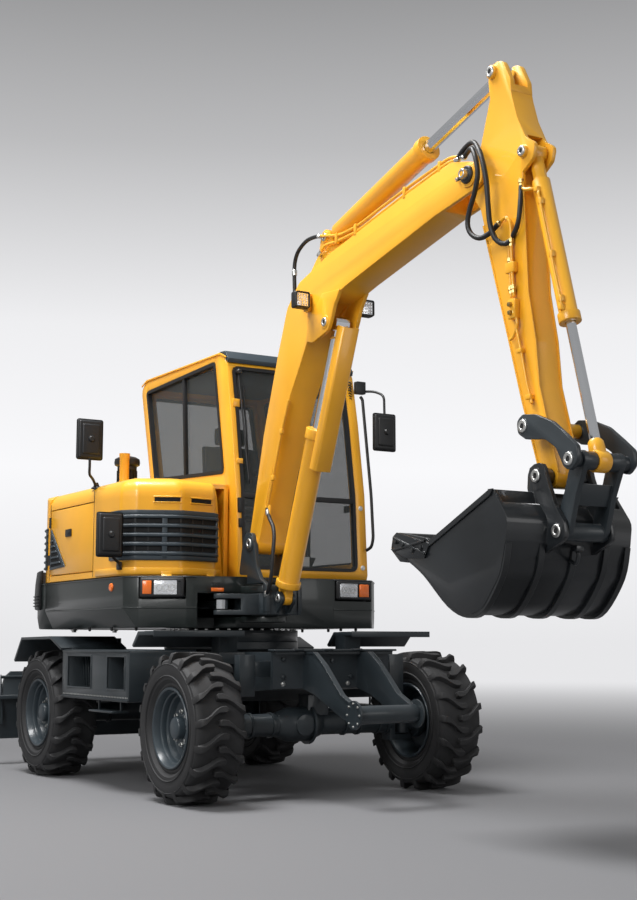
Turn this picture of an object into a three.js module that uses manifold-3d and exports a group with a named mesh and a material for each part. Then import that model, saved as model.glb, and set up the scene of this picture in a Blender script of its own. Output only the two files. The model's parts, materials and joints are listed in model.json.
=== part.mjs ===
// Wheeled excavator of the 6 tonne class, in millimetres, +Z up, the front of the machine to -Y.
import * as THREE from 'three';
import { mergeVertices } from 'three/addons/utils/BufferGeometryUtils.js';
import Module from 'manifold-3d';

const wasm = await Module();
wasm.setup();

// driving dimensions, laid out about the slewing axis on the ground
const shiftY = 852.5; // brings the middle of the whole machine over the origin
const tyreRadius = 420;
const tyreWidth = 306;
const wheelX = 810;
const wheelY = 1053;
const kingpinX = 640;
const skirtLow = 988;
const deckTop = 1300;
const sideX = 925;
const tailRadius = 1650;
const cabRight = -100;
const cabLeft = 905;
const cabFloor = 1306;
const boomX = -150;
const boomHalf = 92;
const armHalf = 67;
const swingPin = [boomX, -790];
const boomFoot = [-748, 1498];
const boomCylFoot = [-975, 1160];
const boomCylEye = [-1590, 2725];
const armCylFoot = [-1540, 3246];
const armPivot = [-2955, 3206];
const armCylEye = [-3124, 3687];
const bucketCylFoot = [-3350, 3213];
const rockerPivot = [-3434, 1870];
const rockerEye = [-3738, 1687];
const bucketPivot = [-3482, 1640];
const bucketLink = [-3614, 1383];
const bucketRight = -530;
const bucketLeft = 205;
const bladePivot = [1330, 470];
const bladeCylFoot = [1400, 745];
const bladeCylEye = [1875, 600];

// colours
const yellow = { color: 0xf0a01c, roughness: 0.35, metalness: 0.0 };
const slate = { color: 0x2c3337, roughness: 0.5, metalness: 0.0 };
const black = { color: 0x17191b, roughness: 0.55, metalness: 0.0 };
const steel = { color: 0xc6c8ca, roughness: 0.15, metalness: 1.0 };
const rubber = { color: 0x1a1a1b, roughness: 0.85, metalness: 0.0 };
const glass = { color: 0x2a3234, roughness: 0.05, metalness: 0.0 };
const seatCloth = { color: 0x25272a, roughness: 0.9, metalness: 0.0 };
const rimPaint = { color: 0x2f3a44, roughness: 0.5, metalness: 0.0 };

// ---------- solids ----------
function asSolid(geometry) {
  const bare = geometry.clone();
  bare.deleteAttribute('normal');
  bare.deleteAttribute('uv');
  const merged = mergeVertices(bare, 1e-3);
  const mesh = new wasm.Mesh({
    numProp: 3,
    vertProperties: Float32Array.from(merged.attributes.position.array),
    triVerts: Uint32Array.from(merged.index.array),
  });
  mesh.merge();
  return new wasm.Manifold(mesh);
}

function asGeometry(solid) {
  const mesh = solid.getMesh();
  const geometry = new THREE.BufferGeometry();
  geometry.setAttribute('position', new THREE.BufferAttribute(Float32Array.from(mesh.vertProperties), 3));
  geometry.setIndex(new THREE.BufferAttribute(Uint32Array.from(mesh.triVerts), 1));
  return geometry;
}

function join(...pieces) {
  let whole = asSolid(pieces[0]);
  for (const piece of pieces.slice(1)) {
    whole = whole.add(asSolid(piece));
  }
  return asGeometry(whole);
}

function cut(body, ...pieces) {
  let whole = asSolid(body);
  for (const piece of pieces) {
    whole = whole.subtract(asSolid(piece));
  }
  return asGeometry(whole);
}

function common(first, second) {
  return asGeometry(asSolid(first).intersect(asSolid(second)));
}

function outward(geometry) {
  // turns the faces round where the sweep left them inward
  const g = geometry.index ? geometry.toNonIndexed() : geometry;
  const p = g.attributes.position;
  let volume = 0;
  const a = new THREE.Vector3();
  const b = new THREE.Vector3();
  const c = new THREE.Vector3();
  for (let i = 0; i < p.count; i += 3) {
    a.fromBufferAttribute(p, i);
    b.fromBufferAttribute(p, i + 1);
    c.fromBufferAttribute(p, i + 2);
    volume += a.dot(b.cross(c));
  }
  if (volume < 0) {
    for (let i = 0; i < p.count; i += 3) {
      b.fromBufferAttribute(p, i + 1);
      c.fromBufferAttribute(p, i + 2);
      p.setXYZ(i + 1, c.x, c.y, c.z);
      p.setXYZ(i + 2, b.x, b.y, b.z);
    }
  }
  g.deleteAttribute('normal');
  g.deleteAttribute('uv');
  return mergeVertices(g, 1e-4);
}

function box(x0, x1, y0, y1, z0, z1) {
  const g = new THREE.BoxGeometry(Math.abs(x1 - x0), Math.abs(y1 - y0), Math.abs(z1 - z0));
  return g.translate((x0 + x1) / 2, (y0 + y1) / 2, (z0 + z1) / 2);
}

function outline(points, radius, steps = 2) {
  // a closed outline with rounded corners; a point may carry its own radius as a third number
  const n = points.length;
  const found = [];
  for (let i = 0; i < n; i += 1) {
    const p = new THREE.Vector2(points[i][0], points[i][1]);
    const before = new THREE.Vector2(points[(i + n - 1) % n][0], points[(i + n - 1) % n][1]).sub(p);
    const after = new THREE.Vector2(points[(i + 1) % n][0], points[(i + 1) % n][1]).sub(p);
    const want = points[i].length > 2 ? points[i][2] : radius;
    if (!want) {
      found.push(p);
      continue;
    }
    const la = before.length();
    const lb = after.length();
    before.normalize();
    after.normalize();
    const half = Math.acos(THREE.MathUtils.clamp(before.dot(after), -1, 1)) / 2;
    const reach = Math.min(want / Math.tan(half), la * 0.45, lb * 0.45);
    const r = reach * Math.tan(half);
    const centre = before.clone().add(after).normalize().multiplyScalar(r / Math.sin(half)).add(p);
    const start = before.multiplyScalar(reach).add(p);
    const end = after.multiplyScalar(reach).add(p);
    let a0 = Math.atan2(start.y - centre.y, start.x - centre.x);
    let a1 = Math.atan2(end.y - centre.y, end.x - centre.x);
    if (a1 - a0 > Math.PI) {
      a1 -= 2 * Math.PI;
    }
    if (a0 - a1 > Math.PI) {
      a0 -= 2 * Math.PI;
    }
    for (let k = 0; k <= steps; k += 1) {
      const t = a0 + ((a1 - a0) * k) / steps;
      found.push(new THREE.Vector2(centre.x + r * Math.cos(t), centre.y + r * Math.sin(t)));
    }
  }
  return found;
}

function sweep(points, depth) {
  const shape = new THREE.Shape(points.map((p) => (p.isVector2 ? p : new THREE.Vector2(p[0], p[1]))));
  return new THREE.ExtrudeGeometry(shape, { depth, bevelEnabled: false, curveSegments: 6 });
}

function sidePlate(points, x0, x1, radius = 0, steps = 2) {
  // outline given as (y, z), thickness along x
  const g = sweep(outline(points, radius, steps), x1 - x0);
  const m = new THREE.Matrix4().set(0, 0, 1, x0, 1, 0, 0, 0, 0, 1, 0, 0, 0, 0, 0, 1);
  return g.applyMatrix4(m);
}

function floorPlate(points, z0, z1, radius = 0, steps = 2) {
  // outline given as (x, y), thickness along z
  return sweep(outline(points, radius, steps), z1 - z0).translate(0, 0, z0);
}

function frontPlate(points, y0, y1, radius = 0, steps = 2) {
  // outline given as (x, z), thickness along y
  const g = sweep(outline(points, radius, steps), y1 - y0);
  const m = new THREE.Matrix4().set(1, 0, 0, 0, 0, 0, -1, y1, 0, 1, 0, 0, 0, 0, 0, 1);
  return g.applyMatrix4(m);
}

function rod(from, to, r, sides = 12, rEnd = r) {
  const a = new THREE.Vector3(...from);
  const b = new THREE.Vector3(...to);
  const g = new THREE.CylinderGeometry(rEnd, r, a.distanceTo(b), sides);
  const turn = new THREE.Quaternion().setFromUnitVectors(
    new THREE.Vector3(0, 1, 0),
    b.clone().sub(a).normalize(),
  );
  g.applyQuaternion(turn);
  return g.translate((a.x + b.x) / 2, (a.y + b.y) / 2, (a.z + b.z) / 2);
}

function pinX(at, x0, x1, r, sides = 10) {
  return rod([x0, at[0], at[1]], [x1, at[0], at[1]], r, sides);
}

function turned(profile, sides) {
  // profile of (radius, height) turned about z
  const g = new THREE.LatheGeometry(profile.map((p) => new THREE.Vector2(p[0], p[1])), sides);
  g.rotateX(Math.PI / 2);
  return outward(g);
}

function turnedX(profile, sides, x, y, z, phase = 0) {
  // profile of (radius, offset along x) turned about an axle
  const g = new THREE.LatheGeometry(profile.map((p) => new THREE.Vector2(p[0], p[1])), sides);
  g.rotateY(phase);
  g.rotateZ(-Math.PI / 2);
  return outward(g).translate(x, y, z);
}

function along(from, to, distance) {
  // a point at a distance from one (y, z) pin toward another
  const l = Math.hypot(to[0] - from[0], to[1] - from[1]);
  return [from[0] + ((to[0] - from[0]) * distance) / l, from[1] + ((to[1] - from[1]) * distance) / l];
}

const parts = [];
function add(name, geometry, paint) {
  const g = outward(geometry);
  g.translate(0, shiftY, 0);
  const mesh = new THREE.Mesh(g, new THREE.MeshStandardMaterial(paint));
  g.computeVertexNormals();
  mesh.name = name;
  parts.push(mesh);
}

function mirrored(geometry) {
  const g = geometry.clone();
  g.scale(-1, 1, 1);
  return outward(g);
}

// ---------- undercarriage ----------
const frameSide = [
  [-1242, 633], [-1242, 838], [-900, 838], [-500, 838], [900, 838], [1440, 790], [1440, 560],
  [700, 560], [600, 540], [-640, 540], [-760, 600],
];
const bracketSide = [
  [-1242, 843], [-1370, 843], [-1470, 800], [-1620, 690], [-1740, 560], [-1775, 480], [-1820, 455], [-1868, 480],
  [-1868, 540], [-1800, 585], [-1700, 700], [-1600, 800], [-1370, 640], [-1242, 560],
];
const bracketPlate = [
  [-1230, 843], [-1385, 843, 30], [-1500, 770, 60], [-1680, 610, 60], [-1800, 556, 20], [-1866, 530, 20],
  [-1866, 470, 20], [-1780, 452, 20], [-1640, 500, 80], [-1400, 600, 80], [-1230, 640],
];
add(
  'chassis_frame',
  join(
    cut(sidePlate(frameSide, -330, 330, 0), box(-62, 62, 1320, 1500, 500, 900)),
    turned([[300, 830], [400, 830], [400, 900], [440, 900], [440, 975], [300, 975], [300, 830]], 24),
    frontPlate([[-398, 633], [398, 633], [398, 843], [-398, 843]], -1262, -1236),
    box(-398, 398, -1300, -1236, 828, 846),
    box(-560, 560, -1170, -1120, 700, 790),
    box(-566, -466, -1176, -1112, 589, 826),
    box(466, 566, -1176, -1112, 589, 826),
    box(-500, 500, -800, -690, 770, 838),
    box(-500, 500, 620, 740, 770, 838),
    box(-500, 500, -300, 420, 660, 760),
    sidePlate(bracketPlate, -200, -172, 0),
    sidePlate(bracketPlate, 172, 200, 0),
    rod([-196, -1820, 505], [196, -1820, 505], 50, 20),
    sidePlate([[1330, 600], [1330, 780], [1400, 800, 30], [1450, 745, 30], [1430, 600]], -90, -60),
    sidePlate([[1330, 600], [1330, 780], [1400, 800, 30], [1450, 745, 30], [1430, 600]], 60, 90),
    sidePlate([[1230, 420, 30], [1230, 600, 0], [1420, 600, 0], [1395, 420, 40]], -330, -300),
    sidePlate([[1230, 420, 30], [1230, 600, 0], [1420, 600, 0], [1395, 420, 40]], 300, 330),
  ),
  slate,
);
const frontBeam = join(
  rod([-540, -wheelY, 418], [540, -wheelY, 418], 66, 12),
  turnedX([[0, -150], [70, -150], [100, -70], [100, 70], [70, 150], [0, 150]], 20, -115, -wheelY, 418),
  rod([-115, -1160, 418], [-115, -930, 418], 62, 16),
  sidePlate([[-1110, 470], [-996, 470], [-996, 592], [-1110, 592]], -70, 70),
  box(-556, -520, -1100, -1006, 306, 530),
  box(520, 556, -1100, -1006, 306, 530),
  box(-681, -540, -1090, -1016, 496, 530),
  box(-681, -540, -1090, -1016, 306, 340),
  box(540, 681, -1090, -1016, 496, 530),
  box(540, 681, -1090, -1016, 306, 340),
);
add('front_axle', frontBeam, slate);
add(
  'rear_axle',
  join(
    rod([-690, wheelY, 418], [690, wheelY, 418], 66, 12),
    turnedX([[0, -170], [80, -170], [120, -70], [120, 70], [80, 170], [0, 170]], 20, 0, wheelY, 418),
    rod([0, 900, 430], [0, 1170, 418], 70, 16),
    box(-300, -180, wheelY - 60, wheelY + 60, 400, 559.6),
    box(180, 300, wheelY - 60, wheelY + 60, 400, 559.6),
    rod([-745, wheelY, 420], [-680, wheelY, 420], 105, 16),
    rod([680, wheelY, 420], [745, wheelY, 420], 105, 16),
  ),
  slate,
);
const knuckle = join(
  rod([kingpinX, -wheelY, 346], [kingpinX, -wheelY, 490], 48, 12),
  rod([kingpinX - 12, -wheelY, 420], [745, -wheelY, 420], 62, 12),
  rod([700, -wheelY, 420], [745, -wheelY, 420], 105, 16),
  box(640, 690, -1018, -955, 400, 440),
);
add('knuckle_left', knuckle, slate);
add('knuckle_right', mirrored(knuckle), slate);

const tyreProfile = [
  [216, -115], [268, -144], [340, -153], [402, -138], [423.6, -92], [423.6, 92], [402, 138], [340, 153], [268, 144],
  [216, 115], [216, -115],
];
const rimProfile = [
  [214.2, -117], [226, -124], [224, -134], [196, -116], [190, -60], [60, -48], [60, 0], [120, 0], [150, -30], [196, 0],
  [198, 112], [224, 134], [226, 124], [214.2, 117], [214.2, -117],
];
for (const [side, sx] of [['left', 1], ['right', -1]]) {
  for (const [end, sy] of [['front', -1], ['rear', 1]]) {
    const tyre = turnedX(tyreProfile, 24, 0, 0, 0, Math.PI / 24);
    const rim = turnedX(rimProfile, 24, 0, 0, 0, Math.PI / 24);
    rim.scale(-1, 1, 1);
    const rimOut = outward(rim);
    const place = (g) => {
      g.scale(sx, 1, 1);
      return outward(g).translate(sx * wheelX, sy * wheelY, tyreRadius);
    };
    add(`tyre_${end}_${side}`, place(tyre), rubber);
    add(`rim_${end}_${side}`, place(rimOut), rimPaint);
  }
}

const fenderFront = join(
  sidePlate([[-884, 938], [-884, 962], [-670, 962], [-588, 880], [-606, 868], [-684, 938]], 380, 975),
  box(380, 500, -800, -690, 838.4, 945),
);
add('fender_front_left', fenderFront, black);
add('fender_front_right', mirrored(fenderFront), black);
const fenderRear = join(
  sidePlate([[552, 862], [756, 938], [1327, 932], [1470, 772], [1452, 760], [1318, 914], [760, 920], [560, 846]],
    510, 975),
  box(510, 534, 640, 1400, 760, 925),
);
const stepBox = cut(
  sidePlate([[-500, 540, 20], [-500, 852, 20], [584, 852, 20], [584, 540, 20]], 331, 950, 0),
  box(820, 960, 92, 488, 612, 812),
  box(820, 960, -436, -164, 612, 812),
  box(320, 502, -302, 422, 650, 770),
  box(320, 501, -501, 590, 764, 860),
);
const sideBox = join(stepBox, fenderRear, box(510, 900, 545, 575, 820, 856));
add('toolbox_left', sideBox, black);
add('toolbox_right', mirrored(sideBox), black);

add(
  'blade',
  join(
    frontPlate([[-962, 190], [962, 190], [962, 500], [900, 507], [868, 640], [820, 682], [-820, 682], [-868, 640],
      [-900, 507], [-962, 500]], 1960, 1990, 0),
    frontPlate([[-962, 190], [962, 190], [962, 235], [-962, 235]], 1990, 2050),
    box(-962, 962, 1905, 1962, 480, 507),
    sidePlate([[1286, 430, 40], [1290, 512, 40], [1600, 540], [1962, 620], [1962, 300], [1600, 400]], -290, -235),
    sidePlate([[1286, 430, 40], [1290, 512, 40], [1600, 540], [1962, 620], [1962, 300], [1600, 400]], 235, 290),
    box(-240, 240, 1560, 1620, 430, 520),
    sidePlate([[1840, 560, 20], [1850, 640, 30], [1900, 650, 20], [1965, 610], [1965, 500]], -80, -50),
    sidePlate([[1840, 560, 20], [1850, 640, 30], [1900, 650, 20], [1965, 610], [1965, 500]], 50, 80),
  ),
  slate,
);
const cylinderBarrel = (foot, eye, length, r, x, eyeHalf, rodR, boreFrom, neck = 60) => {
  const start = along(foot, eye, neck + 4);
  const end = along(foot, eye, length);
  const collar = along(foot, eye, length - 46);
  return cut(
    join(
      pinX(foot, x - eyeHalf, x + eyeHalf, 44, 12),
      rod([x, foot[0], foot[1]], [x, ...start], 34, 10),
      rod([x, ...along(foot, eye, neck)], [x, ...end], r, 16),
      rod([x, ...collar], [x, ...end], r + 9, 16),
    ),
    rod([x, ...along(foot, eye, boreFrom)], [x, ...along(foot, eye, length + 20)], rodR + 2, 12),
  );
};
const cylinderRod = (foot, eye, from, r, x, eyeHalf, eyeR = 44) => join(
  rod([x, ...along(foot, eye, from)], [x, ...eye], r, 12),
  pinX(eye, x - eyeHalf, x + eyeHalf, eyeR, 12),
);
add('blade_cylinder', cylinderBarrel(bladeCylFoot, bladeCylEye, 330, 50, 0, 40, 26, 100), yellow);
add('blade_cylinder_rod', cylinderRod(bladeCylFoot, bladeCylEye, 185, 26, 0, 40), steel);

// ---------- upper structure ----------
const tailSkirt = [
  [925, 1100], [900, 1220], [840, 1320], [740, 1430], [600, 1530], [400, 1600], [0, 1650], [-400, 1600], [-600, 1530],
  [-740, 1430], [-840, 1320], [-900, 1220], [-925, 1100],
];
const skirtShape = [
  [-940, 1310], [-940, 1120], [-925, 1105], [-862, 980], [862, 980], [925, 1105], [940, 1120], [940, 1310],
];
const deckOutline = [
  [-sideX, -330, 40], [-860, -405, 40], [-600, -560, 60], [-360, -622], [400, -640], [720, -600, 40], [905, -350, 40],
  [sideX, -290, 20], [sideX, 1000], [-sideX, 1000],
];
const placed = (solid, angle, x, y) => {
  solid.rotateZ(THREE.MathUtils.degToRad(angle));
  return solid.translate(x, y, 0);
};
const lampRight = placed(box(-138, 138, -46, 26, 1166, 1290), -30.8, -728, -474);
const lampRightRoom = placed(box(-144, 144, -90, 34, 1160, 1296), -30.8, -728, -474);
const lampLeft = placed(box(-150, 150, -46, 26, 1166, 1290), 7.1, 562, -590);
const lampLeftRoom = placed(box(-156, 156, -90, 34, 1160, 1296), 7.1, 562, -590);
const deck = cut(
  common(floorPlate(deckOutline, skirtLow, deckTop, 0), frontPlate(skirtShape, -800, 1800)),
  box(-850, 850, 560, 985, skirtLow - 10, deckTop - 30),
  box(-540, -60, -700, 490, 1052, 1198),
  box(-540, -300, -700, -330, 980, 1198),
  rod([boomX, swingPin[1], 1246], [boomX, swingPin[1], 1320], 190, 18),
);
const noseEar = [
  [-260, -500], [-268, -700, 40], [-250, -830, 60], [-150, -920, 90], [-50, -830, 60], [-32, -700, 40], [-40, -500],
];
const nose = join(
  floorPlate(noseEar, 1018, 1052),
  floorPlate(noseEar, 1198, 1240),
  rod([boomX, swingPin[1], 1030], [boomX, swingPin[1], 1230], 45, 16),
);
add(
  'deck_frame',
  join(
    cut(deck, lampRightRoom, lampLeftRoom),
    nose,
    turned([[0, 976], [290, 976], [290, 1060], [0, 1060]], 24),
  ),
  black,
);
add(
  'counterweight',
  common(
    floorPlate([[sideX, 1000.5], ...tailSkirt, [-sideX, 1000.5]], skirtLow, deckTop),
    frontPlate(skirtShape, -800, 1800),
  ),
  black,
);
// right hood
const hoodPlan = [
  [-sideX, -262, 50], [-850, -345, 60], [-600, -455, 100], [-330, -390, 60], [-112, -110], [-112, 952], [-sideX, 952],
];
const hoodInside = [
  [-sideX + 30, -250, 40], [-838, -312, 40], [-600, -422, 80], [-342, -358, 40], [-142, -116], [-142, 922],
  [-sideX + 30, 922],
];
const hoodRoof = frontPlate(
  [[-930, 1200], [-930, 1840], [-915, 1880], [-870, 1908], [-500, 1925], [-100, 1935], [-100, 1200]],
  -700,
  1300,
);
const hoodRoofInside = frontPlate(
  [[-900, 1200], [-900, 1834], [-888, 1860], [-856, 1879], [-500, 1895], [-100, 1905], [-100, 1200]],
  -700,
  1300,
);
const hoodLean = frontPlate([[-60, 1290], [-160, 1290], [-330, 1960], [-60, 1960]], -700, -150);
const hoodLeanInside = frontPlate([[-60, 1280], [-190, 1280], [-362, 1960], [-60, 1960]], -700, -118);
const hood = cut(
  common(floorPlate(hoodPlan, deckTop + 6, 2100), hoodRoof),
  cut(common(floorPlate(hoodInside, deckTop - 10, 2100), hoodRoofInside), hoodLeanInside),
  hoodLean,
  box(-sideX - 10, -sideX + 35, 164, 932, 1345, 1800),
);
add('hood_right', hood, yellow);
add('side_door', box(-sideX, -sideX + 29, 170, 926, 1351, 1794), yellow);
// rear body behind the cab with its cover
const rearPlan = [
  [-112, 960], [-112, 1104], [893, 1104], [850, 1180], [760, 1320], [640, 1450], [480, 1545], [250, 1600], [0, 1615],
  [-250, 1600], [-480, 1545], [-640, 1450], [-760, 1320], [-850, 1180], [-905, 1060], [-sideX, 960],
];
const rearInside = [
  [-142, 990], [-142, 1134], [844, 1134], [824, 1164], [736, 1302], [620, 1426], [467, 1516], [245, 1570], [0, 1584],
  [-245, 1570], [-467, 1516], [-620, 1426], [-736, 1302], [-824, 1164], [-876, 1050], [-893, 990],
];
const rearTop = sidePlate(
  [[900, 1200], [900, 1935], [1240, 1930, 80], [1480, 1870, 80], [1600, 1740, 60], [1660, 1200]],
  -1000,
  1000,
);
const rearTopInside = sidePlate(
  [[900, 1200], [900, 1904], [1230, 1899, 80], [1460, 1842, 80], [1570, 1726, 60], [1628, 1200]],
  -1000,
  1000,
);
const rearRoof = frontPlate(
  [[-930, 1200], [-930, 1840], [-915, 1880], [-870, 1908], [-500, 1925], [500, 1925], [870, 1908], [915, 1880],
    [930, 1840], [930, 1200]],
  800,
  1800,
);
const rearRoofInside = frontPlate(
  [[-900, 1200], [-900, 1834], [-888, 1860], [-856, 1879], [-500, 1895], [500, 1895], [856, 1879], [888, 1860],
    [900, 1834], [900, 1200]],
  800,
  1800,
);
const rearShell = cut(
  common(common(floorPlate(rearPlan, deckTop + 6, 2100), rearTop), rearRoof),
  common(common(floorPlate(rearInside, deckTop - 10, 2100), rearTopInside), rearRoofInside),
);
const coverBlock = box(-600, 600, 1400, 1800, 1400, 1760);
add('rear_body', cut(rearShell, box(-606, 606, 1400, 1800, 1394, 1766)), yellow);
add('engine_cover', common(rearShell, coverBlock), yellow);
add('engine', box(-430, 400, 1180, 1470, 1301, 1740), slate);

// ---------- cab ----------
const cabSide = [
  [-276, cabFloor, 40], [-238, 1900], [-160, 2400], [-86, 2760, 60], [-10, 2836, 60], [1200, 2836, 90], [1290, 2780, 60],
  [1090, 2010], [1090, cabFloor, 20],
];
const cabSideInside = [
  [-216, cabFloor + 50], [-178, 1900], [-102, 2400], [-40, 2700], [20, 2776], [1170, 2776], [1212, 2740], [1030, 2020],
  [1030, cabFloor + 50],
];
const cabShell = cut(
  sidePlate(cabSide, cabRight, cabLeft),
  sidePlate(cabSideInside, cabRight + 60, cabLeft - 60),
  sidePlate([[-70, 2010, 30], [80, 2795, 30], [1200, 2755, 30], [1030, 2060, 30]], cabRight - 10, cabRight + 70),
  sidePlate([[-190, 1370, 30], [-150, 1900], [-76, 2400], [10, 2745, 30], [560, 2745, 30], [560, 1370, 30]],
    cabLeft - 70, cabLeft + 10),
  sidePlate([[650, 2060, 30], [650, 2740, 30], [1150, 2740, 30], [985, 2060, 30]], cabLeft - 70, cabLeft + 10),
  frontPlate([[-62, 1370, 40], [825, 1370, 90], [825, 2740, 40], [-62, 2740, 40]], -420, 30),
  frontPlate([[-20, 2080, 30], [825, 2080, 30], [825, 2720, 30], [-20, 2720, 30]], 1000, 1400),
);
add('cab_shell', cabShell, yellow);
const screenSide = [
  [-268, 1376], [-228, 1900], [-150, 2400], [-82, 2732], [-72, 2732], [-140, 2400], [-218, 1900], [-258, 1376],
];
const screenFront = frontPlate([[-56, 1376, 34], [819, 1376, 84], [819, 2734, 34], [-56, 2734, 34]], -420, 30);
add('windscreen', common(sidePlate(screenSide, -56, 819), screenFront), glass);
add(
  'right_window',
  sidePlate([[-62, 2017, 26], [86, 2788, 26], [1192, 2749, 26], [1024, 2066, 26]], cabRight + 22, cabRight + 30),
  glass,
);
add(
  'left_window',
  sidePlate([[657, 2067, 26], [657, 2733, 26], [1142, 2733, 26], [979, 2067, 26]], cabLeft - 30, cabLeft - 22),
  glass,
);
const rearGlass = common(
  sidePlate([[1078, 2088], [1246, 2712], [1256, 2712], [1088, 2088]], -13, 818),
  frontPlate([[-13, 2087, 24], [818, 2087, 24], [818, 2713, 24], [-13, 2713, 24]], 1000, 1400),
);
add('rear_window', rearGlass, glass);
const doorOutline = [[-184, 1376, 26], [-144, 1900], [-70, 2400], [14, 2739, 26], [554, 2739, 26], [554, 1376, 26]];
const doorHole = [[-134, 1430, 24], [-106, 1900], [-32, 2396], [44, 2690, 24], [506, 2690, 24], [506, 1430, 24]];
const doorPane = [[-127, 1437, 20], [-99, 1900], [-26, 2396], [50, 2683, 20], [499, 2683, 20], [499, 1437, 20]];
add(
  'cab_door',
  cut(sidePlate(doorOutline, cabLeft - 44, cabLeft + 2), sidePlate(doorHole, cabLeft - 60, cabLeft + 20)),
  yellow,
);
add('door_glass', sidePlate(doorPane, cabLeft - 26, cabLeft - 18), glass);
add(
  'seat',
  join(
    box(180, 660, 320, 800, 1740, 1860),
    sidePlate([[740, 1800], [700, 1800], [800, 2460, 30], [890, 2460, 30], [860, 1800]], 190, 650),
    box(240, 600, 380, 760, 1356.4, 1745),
    box(120, 180.5, 330, 700, 1900, 1960),
    box(659.5, 720, 330, 700, 1900, 1960),
    box(120, 200, 560, 700, 1400, 1905),
    box(640, 720, 560, 700, 1400, 1905),
    box(150, 690, 560, 700, 1400, 1500),
  ),
  seatCloth,
);
add(
  'steering_column',
  join(
    rod([400, -68, 1367], [400, 60, 2060], 50, 12),
    rod([400, 50, 2040], [400, 62, 2080], 190, 18),
  ),
  black,
);
// fittings on the upper
add(
  'pre_cleaner',
  turned([[0, 1925], [34, 1925], [34, 2018], [76, 2028], [80, 2098], [60, 2118], [88, 2124], [84, 2146], [0, 2158]], 14)
    .translate(-560, 480, 0),
  black,
);
add(
  'exhaust_pipe',
  join(
    rod([-650, 320, 1922], [-650, 320, 2120], 32, 14),
    rod([-650, 320, 2110], [-650, 320, 2160], 38, 14),
  ),
  yellow,
);
const mirrorPlate = (x0, x1, y, z0, z1) => frontPlate(
  [[x0, z0, 24], [x1, z0, 24], [x1, z1, 24], [x0, z1, 24]],
  y - 22,
  y + 22,
);
add(
  'mirror_right',
  join(
    rod([-876, 160, 1909], [-876, 160, 2040], 12, 8),
    rod([-876, 165, 2034], [-960, 112, 2150], 12, 8),
    mirrorPlate(-1070, -890, 100, 2064, 2330),
  ),
  black,
);
add(
  'mirror_front_right',
  join(
    rod([-838, -376, 1300.4], [-838, -376, 1400], 12, 8),
    rod([-838, -374, 1394], [-900, -400, 1440], 12, 8),
    rod([-896, -398, 1436], [-1040, -420, 1440], 12, 8),
    mirrorPlate(-1135, -962, -420, 1408, 1682),
  ),
  black,
);
add(
  'mirror_left',
  join(
    rod([866, -190, 2640], [890, -336, 1532], 14, 8),
    rod([890, -334, 1540], [890, -263, 1540], 11, 8),
    rod([866, -187, 2632], [866, -117, 2632], 11, 8),
    rod([866, -192, 2620], [1000, -332, 2568], 12, 8),
    rod([992, -322, 2574], [992, -350, 2400], 12, 8),
    mirrorPlate(905, 1090, -372, 2204, 2468),
  ),
  black,
);
add('headlamp_right', lampRight, glass);
add('headlamp_left', lampLeft, glass);

// ---------- working arm ----------
const clevis = (points, inner, outer, radius, steps = 2) => [
  sidePlate(points, boomX - outer, boomX - inner, radius, steps),
  sidePlate(points, boomX + inner, boomX + outer, radius, steps),
];
const bothSides = (at, inner, outer, r, sides = 10) => [
  pinX(at, boomX - outer, boomX - inner, r, sides),
  pinX(at, boomX + inner, boomX + outer, r, sides),
];
const swingEar = [
  [-716, 1252], [-716, 1306], [-612, 1312, 20], [-650, 1480, 40], [-690, 1566, 40], [-770, 1566, 40], [-805, 1486, 40],
  [-832, 1348, 60], [-880, 1280, 60], [-960, 1240, 30], [-962, 1080], [-918, 1080], [-918, 1252],
];
const cylinderLug = [
  [-880, 1064], [-880, 1186], [-934, 1196, 20], [-975, 1202, 30], [-1016, 1180, 30], [-1018, 1140, 30],
  [-986, 1108, 30], [-940, 1064],
];
const lugPlate = floorPlate(
  [[-504, -750, 40], [-496, -684, 40], [-400, -680], [-210, -720], [-210, -850], [-340, -840], [-440, -784]],
  1062,
  1188,
);
add(
  'swing_post',
  cut(
    join(
      rod([boomX, swingPin[1], 1058], [boomX, swingPin[1], 1192], 112, 24),
      ...clevis(swingEar, 97, 123, 0),
      box(boomX - 120, boomX + 120, -950, -920, 1062, 1205),
      box(boomX - 120, boomX + 120, -880, -722, 1252, 1276),
      box(boomX - 110, boomX + 110, -950, -790, 1062, 1188),
      box(boomX - 120, boomX - 97, -960, -880, 1062, 1100),
      box(boomX + 97, boomX + 120, -960, -880, 1062, 1100),
      ...clevis(cylinderLug, 28, 48, 0),
      lugPlate,
      ...bothSides(boomFoot, 110, 128, 50),
    ),
    rod([boomX, swingPin[1], 1000], [boomX, swingPin[1], 1240], 47, 20),
    floorPlate([[-560, -600], [-350, -600], [-340, -780], [-400, -860], [-560, -860]], 1090, 1160),
    pinX(boomCylFoot, boomX - 60, boomX + 60, 24, 12),
    box(boomX - 30, boomX + 30, -1100, -910, 1000, 1300),
  ),
  slate,
);
const swingBarrelEnd = -250;
add(
  'swing_cylinder',
  cut(
    join(
      rod([-450, 420, 1097], [-450, 420, 1153], 40, 12),
      rod([-450, 410, 1125], [-450, swingBarrelEnd, 1125], 44, 16),
      rod([-450, swingBarrelEnd + 40, 1125], [-450, swingBarrelEnd, 1125], 50, 16),
      rod([-450, 420, 1052.4], [-450, 420, 1197.6], 20, 10),
    ),
    rod([-450, 360, 1125], [-450, swingBarrelEnd - 20, 1125], 27, 12),
  ),
  slate,
);
add(
  'swing_cylinder_rod',
  join(
    rod([-450, 90, 1125], [-450, -690, 1125], 24, 12),
    rod([-450, -730, 1098], [-450, -730, 1152], 38, 12),
    box(-474, -426, -700, -680, 1101, 1149),
  ),
  steel,
);
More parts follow.
